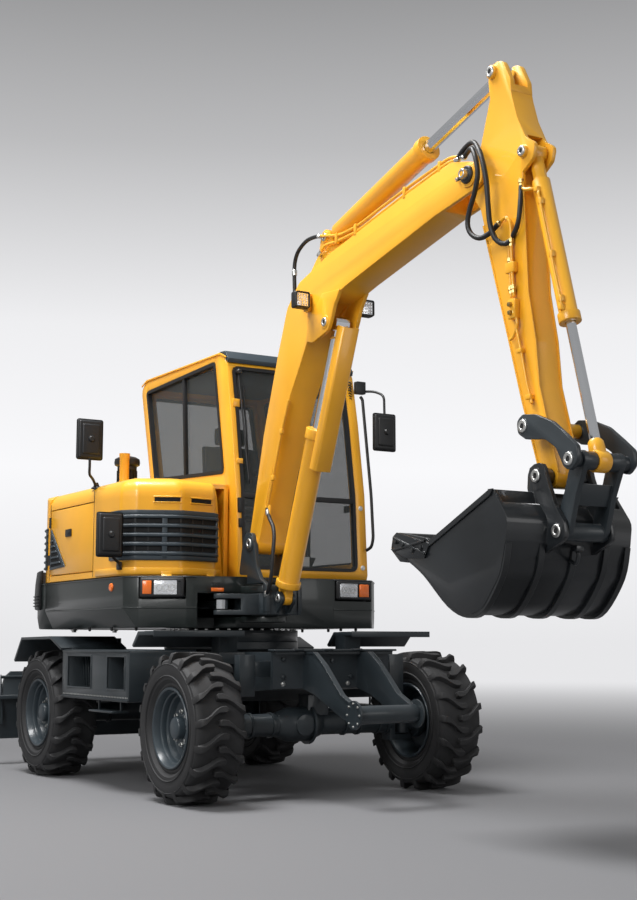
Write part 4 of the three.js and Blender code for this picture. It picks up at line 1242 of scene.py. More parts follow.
def makeCabTrim():
    # seals, bars, visor, hatch, handles, hinges, wiper and bolts of the cab
    rightLoop = roundedLoop([(-70, 2010), (80, 2795), (1200, 2755), (1030, 2060)][::-1], 40)
    seal = loopSeal(rightLoop, "x", -104, -70, 24, 3)
    bar = slab([(520, 2040), (548, 2040), (596, 2776), (566, 2777)], "x", -100, -72, 3)
    finished([seal, bar], "right_window_seal", "upper", sealRubber, 40)
    leftLoop = roundedLoop([(650, 2060), (650, 2740), (1150, 2740), (985, 2060)][::-1], 34)
    finished(
        loopSeal(leftLoop, "x", 876, 908, 16, 3), "left_window_seal", "upper", sealRubber,
        40)
    doorLoop = roundedLoop(
        [(-134, 1430), (-106, 1900), (-32, 2396), (44, 2690), (506, 2690), (506, 1430)][::-1], 28)
    finished(
        loopSeal(doorLoop, "x", 876, 910, 14, 3), "door_glass_seal", "cab_door", sealRubber,
        40)
    screen = subdivideLoop(roundedLoop([(-62, 1370), (825, 1370), (825, 2740), (-62, 2740)], 55))
    ring = screenLoop(screen, 22, 4, 30)
    split = loft([
        [mm(-50, screenY(z) - d, z) for d, z in ((5, 1838), (5, 1872), (-20, 1872), (-20, 1838))],
        [mm(812, screenY(z) - d, z) for d, z in ((5, 1838), (5, 1872), (-20, 1872), (-20, 1838))]])
    roundEdges(split, 2)
    finished([ring, split], "windscreen_seal", "upper", sealRubber, 40)
    rearLoop = roundedLoop([(-20, 2080), (825, 2080), (825, 2720), (-20, 2720)], 40)
    rows = []
    n = len(rearLoop)
    for i in range(n + 1):
        p = Vector(rearLoop[i % n])
        a = (p - Vector(rearLoop[(i - 1) % n])).normalized()
        b = (Vector(rearLoop[(i + 1) % n]) - p).normalized()
        q = p + Vector((-(a.y + b.y), a.x + b.x)).normalized() * 18
        face = [1090 + (s.y - 2010) * 0.2597 for s in (p, q)]
        rows.append([
            mm(p.x, face[0] + 5, p.y), mm(p.x, face[0] - 30, p.y), mm(q.x, face[1] - 30, q.y),
            mm(q.x, face[1] + 5, q.y)])
    finished(
        loft(rows, closed=True, capped=False), "rear_window_seal", "upper", sealRubber,
        40)
    # dark visor along the front of the roof and the roof hatch
    visor = slab([
        (-96, 2762), (-104, 2790), (-60, 2846), (20, 2852), (40, 2840), (-10, 2837),
        (-88, 2768)], "x", -96, 900, 2)
    hatch = [
        block((60, 260, 2834), (740, 860, 2856), 10, 3),
        block((90, 290, 2854), (710, 830, 2862), 5, 2)]
    finished([visor] + hatch, "roof_visor_hatch", "upper", grilleGrey, 40)
    gutter = [
        slab([
            (-90, 2800), (0, 2842), (1190, 2842), (1270, 2812), (1276, 2800), (1186, 2830),
            (6, 2830), (-80, 2794)], "x", x, x + 8, 1)
        for x in (-108, 905)]
    finished(gutter, "roof_gutters", "upper", yellow, 40)
    # door furniture
    handle = [
        block((907, -60, 1800), (916, 40, 1850), 4),
        pipe(bentPath(
            [mm(914, -50, 1826), mm(934, -40, 1826), mm(934, 20, 1826), mm(914, 30, 1826)], 10), 6),
        turned([(0, 0), (14, 0), (14, 4), (9, 8), (0, 8)], (907, -84, 1826), (908, -84, 1826), 20)]
    finished(handle, "door_handle", "cab_door", plastic, 40)
    doorHinges = []
    for z in (1480, 2020, 2620):
        doorHinges.append(turned(
            [(0, -45), (14, -45), (14, 45), (0, 45)], (915, 558, z), (915, 558, z + 1), 20))
        doorHinges.append(block((905.4, 566, z - 34), (911, 640, z + 34), 2))
        roundEdges(doorHinges[-2], 2)
    finished(doorHinges, "cab_door_hinges", "upper", plastic, 40)
    doorSeam = loopSeal(roundedLoop(
        [(-190, 1370), (-150, 1900), (-76, 2400), (10, 2745), (560, 2745), (560, 1370)][::-1],
        30), "x", 904.2, 906.2, 5, 0)
    finished(doorSeam, "cab_door_seam", "upper", sealRubber, 40)
    # wiper, locks and small plates on the front
    wiper = [
        pipe(smoothPath([
            mm(-20, screenY(2690) - 8, 2690), mm(-22, screenY(2500) - 16, 2500),
            mm(-16, screenY(2200) - 16, 2200), mm(-6, screenY(1960) - 12, 1960)], 6), 6),
        turned(
            [(0, 0), (20, 0), (20, 26), (14, 34), (0, 36)], (-20, screenY(2700), 2700),
            (-20, screenY(2700) - 1, 2700), 20)]
    blade = loft([
        [mm(x, screenY(z) - d, z) for x, d in ((-2, 14), (6, 14), (6, 4), (-2, 4))]
        for z in (1930, 2050, 2200, 2350, 2500, 2600)])
    finished(wiper + [blade], "wiper", "upper", plastic, 40)
    locks = [
        block((-84, screenY(2480) - 10, 2452), (-30, screenY(2480) + 10, 2508), 5),
        block((-84, screenY(2100) - 10, 2064), (-36, screenY(2100) + 8, 2100), 5)]
    finished(locks, "screen_hinges", "upper", yellow, 40)
    catch = [
        block((-92, screenY(1800) - 16, 1738), (-62, screenY(1800) + 8, 1836), 5),
        block((-88, screenY(1660) - 14, 1640), (-64, screenY(1660) + 6, 1700), 4)]
    finished(catch, "screen_catches", "upper", plastic, 40)
    bolts = [
        turned(
            [(0, 0), (17, 0), (17, 3), (11, 4), (11, 9), (0, 9)], (866, screenY(z), z),
            (866, screenY(z) - 1, z), 24)
        for z in (1400, 1810)]
    finished(bolts, "cab_front_bolts", "upper", zinc, 30)
    coil = []
    for k in range(60):
        angle = k * 0.75
        coil.append(mm(
            868 + 12 * math.cos(angle), screenY(2700) - 14 + 8 * math.sin(angle), 2720 - 2.2 * k))
    finished(pipe(coil, 3.4, 2), "coiled_lead", "upper", plastic, 40)
    plate = slab(
        [(330, 1392), (450, 1392), (450, 1462), (330, 1462)], "y", screenY(1430) + 12,
        screenY(1430) + 14, 0)
    finished(plate, "blank_screen_plate", "upper", whitePlate, 40)
    skirtSeal = block((-101, -262, 1300.5), (906, 1092, 1305.6), 1, 1)
    finished(skirtSeal, "cab_base_seal", "upper", sealRubber, 40)


makeCabTrim()
print("cab trim made")


# cab inside
def cushion(low, high, crown, seams, tilt=0, pivot=None):
    # a crowned pad with pulled-in sides and sewn channels across it
    deselectAll()
    bpy.ops.mesh.primitive_cube_add(size=2, location=(0, 0, 0))
    made = bpy.context.object
    bpy.ops.object.mode_set(mode="EDIT")
    bpy.ops.mesh.select_all(action="SELECT")
    bpy.ops.mesh.subdivide(number_cuts=13)
    leaveEdit()
    a, b = mm(*low), mm(*high)
    half = (b - a) / 2
    middle = (a + b) / 2
    thin = min(range(3), key=lambda i: abs(half[i]))
    wide = [i for i in range(3) if i != thin]
    for vertex in made.data.vertices:
        p = vertex.co.copy()
        u, v, w = p[wide[0]], p[wide[1]], p[thin]
        roundness = (1 - abs(u) ** 5) * (1 - abs(v) ** 5)
        swell = 0.55 + 0.45 * max(roundness, 0) ** 0.5
        groove = 0
        for at in seams:
            groove += math.exp(-((v - at) / 0.035) ** 2)
        height = w * (
            swell + crown * (1 - u * u) * (1 - v * v) - 0.14 * min(groove, 1) * (abs(w) > 0.5))
        side = 1 - 0.035 * (1 - w * w)
        q = Vector((0, 0, 0))
        corner = 1 - 0.05 * (u * u * v * v)
        q[wide[0]] = u * side * corner * half[wide[0]]
        q[wide[1]] = v * side * corner * half[wide[1]]
        q[thin] = height * half[thin] / (1 + crown)
        vertex.co = middle + q
    smooth = made.modifiers.new("smooth", "SUBSURF")
    smooth.levels = 1
    smooth.render_levels = 1
    choose(made)
    bpy.ops.object.modifier_apply(modifier=smooth.name)
    if tilt:
        centre = mm(*pivot)
        made.data.transform(
            Matrix.Translation(centre) @ Matrix.Rotation(math.radians(tilt), 4, "X")
            @ Matrix.Translation(-centre))
    return made


def makeCabInside():
    # seat, consoles, levers, steering wheel, pedals and floor mat
    base = finished(
        cushion((190, 330, 1742), (650, 790, 1858), 0.25, (-0.45, 0, 0.45)), "seat_cushion",
        "upper", cloth, 60)
    back = finished(cushion(
        (200, 722, 1850), (640, 832, 2330), 0.25, (-0.5, -0.1, 0.3), -8,
        (420, 780, 1850)), "seat_back", "upper", cloth, 60)
    head = finished(
        cushion((300, 806, 2340), (540, 888, 2470), 0.3, ()), "seat_headrest", "upper", cloth,
        60)
    shell = [
        block((236, 376, 1500), (604, 764, 1744), 14, 3),
        block((200, 340, 1357), (640, 800, 1500), 10, 2),
        slab([(790, 1760), (842, 1760), (905, 2320), (862, 2330), (822, 1900)], "x", 215, 625, 8),
        pipe([mm(360, 842, 2300), mm(360, 850, 2380)], 7),
        pipe([mm(480, 842, 2300), mm(480, 850, 2380)], 7)]
    seatShell = finished(shell, "seat_frame", "upper", plastic, 40)
    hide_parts("seat")
    sides = []
    for x0, x1 in ((122, 182), (658, 718)):
        sides.append(block((x0, 330, 1896), (x1, 690, 1956), 16, 3))
        sides.append(block((x0 + 4, 560, 1402), (x1 - 2, 700, 1900), 12, 2))
        sides.append(block((x0 - 6, 250, 1860), (x1 + 4, 420, 1930), 14, 3))
    finished(sides, "armrest_consoles", "upper", plastic, 40)
    sticks = []
    for x in (150, 690):
        sticks.append(turned([
            (0, 0), (30, 0), (26, 14), (18, 30), (12, 44), (10, 60), (10, 110), (18, 118),
            (22, 150), (20, 190), (12, 206), (0, 208)], (x, 300, 1925), (x, 290, 2100), 20))
    finished(sticks, "joysticks", "upper", plastic, 40)
    # steering wheel and column
    deselectAll()
    bpy.ops.mesh.primitive_torus_add(
        major_radius=0.18, minor_radius=0.014, major_segments=48, minor_segments=12)
    rim = bpy.context.object
    turn = Vector((0, 0.09, 1)).normalized().to_track_quat("Z", "Y").to_matrix().to_4x4()
    editAll(rim)
    bpy.ops.transform.resize(value=(1, 1, 1.15))
    leaveEdit()
    rim.data.transform(Matrix.Translation(mm(400, 52, 2058)) @ turn)
    spokes = []
    for k in range(3):
        angle = 2 * math.pi * k / 3 + 0.5
        tip = mm(400, 52, 2058) + turn @ Vector((0.17 * math.cos(angle), 0.17 * math.sin(angle), 0))
        root = mm(400, 52, 2050)
        spokes.append(pipe([root, root.lerp(tip, 0.5), tip], 10))
    column = [turned([(0, 0), (60, 0), (56, 60), (40, 150), (36, 420), (46, 520), (50, 600), (30, 690),
                      (0, 696)], (400, -68, 1367), (400, 60, 2060), 24),
              turned([(0, 0), (30, 0), (28, 14), (0, 18)], (400, 50, 2046), (400, 54, 2080), 20)]
    made = finished(
        [rim] + spokes + column, "steering_wheel", "upper", plastic, 40)
    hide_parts("steering_column")
    pedals = []
    for x in (300, 500):
        pedals.append(slab(
            [(-196, 1460), (-120, 1372), (-112, 1378), (-188, 1466)], "x", x - 36, x + 36, 2))
        pedals.append(pipe([mm(x, -150, 1420), mm(x, -120, 1640)], 8))
    screenBox = [
        block((-30, -170, 1880), (70, -60, 2060), 10, 3),
        pipe([mm(20, -110, 1366), mm(20, -110, 1890)], 14),
        block((-34, 300, 1368), (100, 1000, 1780), 12, 2),
        block((740, 620, 1368), (836, 1000, 1700), 12, 2)]
    finished(pedals + screenBox, "cab_fittings", "upper", plastic, 40)
    mat = block((-36, -205, 1356.6), (840, 1025, 1362), 1, 1)
    ribs = [block((x, -200, 1361), (x + 8, 300, 1364), 0) for x in range(-20, 830, 34)]
    finished([mat] + ribs, "cab_floor_mat", "upper", sealRubber, 40)
    lining = block((-30, 60, 2762), (836, 1140, 2774), 4)
    finished(lining, "roof_lining", "upper", plastic, 40)


makeCabInside()
print("cab inside made")


# copies of the plain parts with broken edges, widths in mm
brokenEdges = {
    "boom": 4, "arm": 4, "chassis_frame": 3, "blade": 4, "swing_post": 3, "rocker_link_left": 3,
    "rocker_link_right": 3, "bucket_link": 3, "toolbox_left": 4, "toolbox_right": 4,
    "fender_front_left": 3, "fender_front_right": 3, "bucket": 3, "deck_frame": 8,
    "counterweight": 10, "rear_body": 14, "cab_shell": 9, "cab_door": 4, "front_axle": 3,
    "rear_axle": 3, "knuckle_left": 3, "knuckle_right": 3, "boom_cylinder": 3, "arm_cylinder": 3,
    "bucket_cylinder": 3, "blade_cylinder": 3, "side_door": 4, "engine_cover": 8}


def merged(node):
    # a copy of a plain part with its faces merged
    source = frame["nodes"][node]
    copied = source.copy()
    copied.data = source.data.copy()
    copied.parent = None
    copied.matrix_world = source.matrix_world.copy()
    bpy.context.collection.objects.link(copied)
    deselectAll()
    choose(copied)
    bpy.ops.object.transform_apply(location=True, rotation=True, scale=True)
    editAll(copied)
    bpy.ops.mesh.remove_doubles(threshold=0.00005)
    bpy.ops.mesh.dissolve_limited(angle_limit=math.radians(0.6))
    leaveEdit()
    return copied


def bodyOf(node):
    # the body that a node moves with
    for body, nodes in frame["record"]["behaviour"]["bodies"].items():
        if node in nodes:
            return body
    return None


def makeBrokenEdges():
    # shows each plain part as a copy with broken edges
    for node, width in brokenEdges.items():
        copied = merged(node)
        roundEdges(copied, width, 2, 32)
        paint = frame["nodes"][node].data.materials[0]
        made = finished(copied, node + "_shell", bodyOf(node), paint, 34)
        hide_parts(node)


makeBrokenEdges()
print("broken edges made")


# boom pipes, clamps, lugs and lamps
def strap(x, y, z, wide=44, tall=24):
    # a pipe clamp
    return block((x - wide / 2, y - 12, z - tall / 2), (x + wide / 2, y + 12, z + tall / 2), 4)


def boltAt(place, toward, r=9, tall=8):
    # a hexagon bolt head with its washer
    return turned([
        (0, 0), (r * 1.35, 0), (r * 1.35, 2), (r, 2), (r, tall), (r * 0.8, tall + 1.5),
        (0, tall + 1.5)
    ], place, (place[0] + toward[0], place[1] + toward[1], place[2] + toward[2]), 6)


def makeBoomTrim():
    # pipes, clamps, fittings, bosses and rod guard of the boom
    upper = [
        (-226, -1490, 3263), (-230, -1560, 3246), (-231, -1720, 3208), (-231, -1910, 3214),
        (-231, -2384, 3296), (-233, -2790, 3352), (-237, -2905, 3316)]
    lower = [
        (-231, -1500, 3150), (-231, -1560, 3190), (-231, -1700, 3178), (-231, -1910, 3184),
        (-231, -2384, 3268), (-234, -2760, 3326), (-237, -2856, 3320)]
    runs = [pipe(bentPath([mm(*p) for p in run], 60), 9) for run in (upper, lower)]
    finished(runs, "boom_pipes", "boom", yellow, 60)
    holds = [
        strap(-230, -1700, 3196, 30, 62), strap(-230, -1902, 3196, 30, 66),
        strap(-230, -2384, 3276, 30, 64), strap(-228, -2700, 3326, 30, 60)]
    finished(holds, "boom_pipe_clamps", "boom", yellow, 40)
    ends = []
    for run in (upper, lower):
        for p, q in ((run[0], run[1]), (run[-1], run[-2])):
            ends.append(turned(
                [(0, -14), (13, -14), (15, -10), (15, 6), (12, 10), (12, 26), (0, 26)], p, q, 6))
    ends += [turned([(0, 0), (16, 0), (16, 30), (13, 34), (0, 34)], p, q, 12) for p, q in (
        ((-188, -1139, 3110), (-189, -1142, 3170)), ((-188, -1165, 2900), (-188, -1150, 2950)),
        ((-250, -930, 1690), (-252, -940, 1660)), ((-262, -940, 1176), (-270, -960, 1190)))]
    finished(ends, "boom_fittings", "boom", zinc, 40)
    lug = [block((-252, -960, 1660), (-240, -900, 1720), 4), pipe([
        mm(-250, -925, 1700), mm(-250, -960, 1800), mm(-250, -1100, 2160),
        mm(-250, -1180, 2330)], 8)]
    for y, z in ((-1000, 1880), (-1100, 2150)):
        lug.append(block((-262, y - 14, z - 16), (-241, y + 14, z + 16), 4))
    finished(lug, "boom_side_pipe", "boom", yellow, 40)
    ribs = []
    for x in (-246, -54):
        ribs.append(turned(
            [(0, -3), (52, -3), (52, 3), (0, 3)], (x, -748, 1498), (x + 1, -748, 1498), 36))
        ribs.append(turned(
            [(0, -6), (62, -6), (62, 6), (0, 6)], (x, -2955, 3206), (x + 1, -2955, 3206), 40))
    for r in ribs:
        roundEdges(r, 2)
    finished(ribs, "boom_boss_plates", "boom", yellow, 40)
    cover = [turned(
        [(0, 0), (46, 0), (46, 10), (40, 16), (0, 18)], (-255, -2955, 3206), (-256, -2955, 3206),
        40), block((-258, -2905, 3196), (-250, -2860, 3216), 3)]
    finished(cover, "boom_pivot_cap", "boom", plastic, 40)
    finished([
        boltAt((-272, -2955, 3206), (-1, 0, 0), 14, 12),
        boltAt((-257, -2872, 3206), (-1, 0, 0), 8, 7)
    ], "boom_pivot_bolt", "boom", zinc, 30)
    # guard over the cylinder rod: a folded channel that hangs from the rod's eye
    guardLow, guardHigh = (-1345, 1905), (-1660, 2700)
    rows = []
    for (y, z) in (guardHigh, guardLow):
        across = [
            (-206, 0), (-206, -60), (-196, -70), (-104, -70), (-94, -60), (-94, 0), (-99, 0),
            (-99, -57), (-107, -65), (-193, -65), (-201, -57), (-201, 0)]
        rows.append([mm(x, y + d * 0.93, z + d * 0.366) for x, d in across])
    guard = loft(rows)
    roundEdges(guard, 1.5, 1)
    finished(
        [guard, strapPlate((-1560, 2640))], "boom_rod_guard", bodyOf("boom_cylinder_rod"), yellow,
        40)


def strapPlate(at):
    # fixing plate of the rod guard
    y, z = at
    return block((-196, y - 50, z - 3), (-104, y + 4, z + 3), 2)


def makeLamps():
    # work lights on the boom
    for side, x, y, z in (("right", -320, -1424, 2877), ("left", 60, -1530, 2852)):
        shell = block((x - 50, y - 34, z - 50), (x + 50, y + 20, z + 50), 12, 3)
        can = block((x - 34, y + 16, z - 34), (x + 34, y + 40, z + 34), 10, 3)
        face = -242.4 if side == "right" else -49.6
        arm = block((min(x, face), y + 4, z - 12), (max(x, face), y + 24, z + 12), 2)
        rim = loopSeal(roundedLoop(
            [(x - 48, z - 48), (x - 48, z + 48), (x + 48, z + 48), (x + 48, z - 48)][::-1],
            14), "y", y - 42, y - 30, 8)
        made = finished(
            [shell, can, arm, rim], "boom_lamp_" + side, "boom", plastic, 40)
        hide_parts("boom_light_" + side)
        bowl = [block((x - 38, y - 37, z - 38), (x + 38, y - 34.2, z + 38), 1)]
        for i in range(4):
            for j in range(4):
                bowl.append(turned(
                    [(0, 0), (8, 0), (6, 4), (0, 6)], (x - 27 + 18 * i, y - 37, z - 27 + 18 * j),
                    (x - 27 + 18 * i, y - 38, z - 27 + 18 * j), 8))
        finished(bowl, "boom_lamp_bowl_" + side, "boom", lampReflector, 40)
    bracket = block((-272, -1436, 2820), (-243, -1380, 2930), 8)
    finished(bracket, "lamp_bracket", "boom", yellow, 40)


def makeArmTrim():
    # pipes, blocks, fittings and edge strips of the arm and the bucket cylinder's pipe
    x = -236
    pipes = [
        pipe(bentPath([
            mm(x, *p)
            for p in (
                (-3172, 2902), (-3226, 2925), (-3262, 2880), (-3262, 2790), (-3266, 2640),
                (-3276, 2520))], 24), 8),
        pipe(bentPath([
            mm(x + 4, *p)
            for p in ((-3262, 2792), (-3240, 2760), (-3244, 2640), (-3252, 2520))], 20), 8),
        pipe(bentPath(
            [mm(x, *p) for p in ((-3281, 2440), (-3300, 2380), (-3262, 2322), (-3240, 2318))],
            20), 8),
        pipe(bentPath(
            [mm(x, *p) for p in ((-3290, 2360), (-3320, 2250), (-3360, 2080), (-3390, 1990))],
            20), 7)]
    finished(pipes, "arm_pipes", "arm", yellow, 60)
    blocks = [
        block((-246, -3288, 2638), (-216, -3222, 2690), 5),
        block((-250, -3296, 2412), (-216, -3240, 2508), 7),
        block((-246, -3330, 2240), (-216, -3296, 2262), 4),
        block((-246, -3388, 2010), (-216, -3352, 2034), 4)]
    finished(blocks, "arm_blocks", "arm", yellow, 40)
    fits = []
    for p, q in (
        ((x, -3172, 2902), (x, -3226, 2925)), ((x, -3262, 2790), (x, -3262, 2700)),
        ((x + 4, -3246, 2700), (x + 4, -3246, 2660)), ((x, -3272, 2560), (x, -3276, 2500)),
        ((x + 4, -3250, 2560), (x + 4, -3252, 2500)), ((x, -3281, 2440), (x, -3284, 2400)),
        ((-218, -3322, 3070), (-218, -3322, 3030)), ((-226, -3252, 2808), (-226, -3230, 2796))):
        fits.append(turned(
            [(0, -16), (13, -16), (15, -12), (15, 4), (11, 8), (11, 22), (0, 22)], p, q, 6))
    for y, z in ((-3268, 2480), (-3268, 2440)):
        fits.append(
            turned([(0, 0), (12, 0), (12, 14), (8, 18), (0, 18)], (-250, y, z), (-251, y, z), 6))
    finished(fits, "arm_fittings", "arm", brass, 40)
    # thin strips along the arm's edges
    strips = []
    front = [(-3334, 3070), (-3355, 2531), (-3401, 2290), (-3420, 2073), (-3536, 1660)]
    rear = [(-3032, 2930), (-3213, 2322), (-3301, 2021), (-3420, 1660)]
    for side in (-217, -83):
        for line, lean in ((front, 1), (rear, -1)):
            rows = []
            for y, z in line:
                rows.append([
                    mm(side - 3, y + 3 * lean, z), mm(side + 3, y + 3 * lean, z),
                    mm(side + 3, y - 7 * lean, z), mm(side - 3, y - 7 * lean, z)])
            strip = loft(rows)
            strips.append(strip)
    finished(strips, "arm_edge_strips", "arm", yellow, 30)
    body = bodyOf("bucket_cylinder")
    a = Vector((-3350, 3213))
    b = Vector((-3738, 1687))
    downward = (b - a).normalized()
    side = Vector((downward.y, -downward.x))
    def on(t, off, x):
        p = a + downward * t + side * off
        return mm(x, p.x, p.y)
    barrel = [
        pipe(bentPath([
            on(220, 20, -196), on(240, 24, -206), on(300, 24, -206), on(820, 24, -206),
            on(846, 20, -196)], 18), 7),
        pipe(bentPath(
            [on(200, 0, -178), on(196, -10, -206), on(186, -40, -216), on(168, -60, -218)], 14), 9)]
    for t in (210, 830):
        barrel.append(blockAt(on(t, 12, -196), 26, 26, 26))
    for t in (280, 560, 790):
        barrel.append(blockAt(on(t, 24, -200), 22, 26, 30))
    finished(barrel, "bucket_cylinder_pipe", body, yellow, 40)
    rod = bodyOf("bucket_cylinder_rod")
    eye = [turned(
        [(28, -36), (46, -36), (50, -30), (50, 30), (46, 36), (28, 36)], (-150, -3738, 1687),
        (-149, -3738, 1687), 32)]
    neck = turnedBetween(
        [(0, 0), (26, 0), (36, 14), (38, 50), (36, 90), (0, 90)], on(1470, 0, -150),
        on(1560, 0, -150), 24)
    finished(eye + [neck], "bucket_rod_eye", rod, yellow, 40)


def blockAt(centre, wide, deep, tall):
    # a small block about its middle
    deselectAll()
    bpy.ops.mesh.primitive_cube_add(size=1, location=(0, 0, 0))
    made = bpy.context.object
    bpy.ops.object.mode_set(mode="EDIT")
    bpy.ops.transform.resize(value=(wide / 1000, deep / 1000, tall / 1000))
    bpy.ops.mesh.bevel(offset=0.003, segments=2, affect="EDGES")
    leaveEdit()
    made.data.transform(Matrix.Translation(centre))
    return made


def turnedBetween(outline, start, end, steps):
    # a turned piece between two points of the frame
    ends = [(v.x * 1000, v.y * 1000 - originShift, v.z * 1000) for v in (start, end)]
    return turned(outline, ends[0], ends[1], steps)


def makeBucketTrim():
    # wear strips, side cutters, lip and hook of the bucket
    outer = [
        (-3499, 1191), (-3374, 1043), (-3261, 1014), (-3118, 1066), (-2933, 1214), (-2799, 1293)]
    strips = []
    for x in (-512, -320, -130, 60, 187):
        rows = []
        path = smoothPath([mm(0, y, z) for y, z in [(-3540, 1330)] + outer], 4)
        middle = mm(0, -3230, 1300)
        for i, p in enumerate(path):
            ahead = path[min(i + 1, len(path) - 1)] - path[max(i - 1, 0)]
            out = Vector((0, ahead.z, -ahead.y)).normalized()
            if out.dot(p - middle) < 0:
                out = -out
            shift = Vector((x / 1000, 0, 0))
            rows.append([
                p + shift + out * -0.012 + Vector((-0.016, 0, 0)),
                p + shift + out * 0.0075 + Vector((-0.016, 0, 0)),
                p + shift + out * 0.0075 + Vector((0.016, 0, 0)),
                p + shift + out * -0.012 + Vector((0.016, 0, 0))])
        strips.append(loft(rows))
    finished(strips, "bucket_wear_strips", "bucket", bucketPaint, 30)
    edgeParts = []
    for x0, x1 in ((-538, -529), (204, 213)):
        edgeParts.append(slab([
            (-3470, 1572), (-3444, 1572), (-2975, 1366), (-2735, 1424), (-2728, 1400),
            (-2978, 1340), (-3448, 1544)], "x", x0, x1, 2, 1))
        edgeParts.append(slab([
            (-2990, 1358), (-2722, 1426), (-2690, 1408), (-2676, 1352), (-2712, 1330),
            (-2790, 1296),
            (-2950, 1290)], "x", x0 - (2 if x0 < 0 else -2), x1 + (-2 if x0 < 0 else 2), 3, 2))
        for rise in (0, 1):
            a, b = ((-2960, 1310), (-2700, 1400)) if rise == 0 else ((-2960, 1372), (-2700, 1340))
            off = -9 if x0 < 0 else 9
            edgeParts.append(pipe([
                mm((x0 if x0 < 0 else x1) + off / 3, *a),
                mm((x0 if x0 < 0 else x1) + off / 3, *b)], 7, 2))
    for side, toward in ((-540, -1), (215, 1)):
        for y, z in ((-2930, 1340), (-2860, 1330), (-2780, 1362), (-2720, 1380)):
            edgeParts.append(boltAt((side, y, z), (toward, 0, 0), 11, 9))
    lip = [slab(
        [(-2730, 1284), (-2800, 1276), (-2800, 1292), (-2664, 1352), (-2650, 1350)], "x", -526, 201,
        2)]
    edgeParts += lip
    finished(edgeParts, "bucket_side_cutters", "bucket", bucketPaint, 40)
    hook = [block((-172, -3600, 1300), (-128, -3560, 1326), 4), pipe(bentPath([
        mm(-150, -3556, 1318), mm(-150, -3590, 1290), mm(-150, -3570, 1240),
        mm(-150, -3530, 1262)], 18), 9)]
    finished(hook, "bucket_hook", "bucket", bucketPaint, 40)


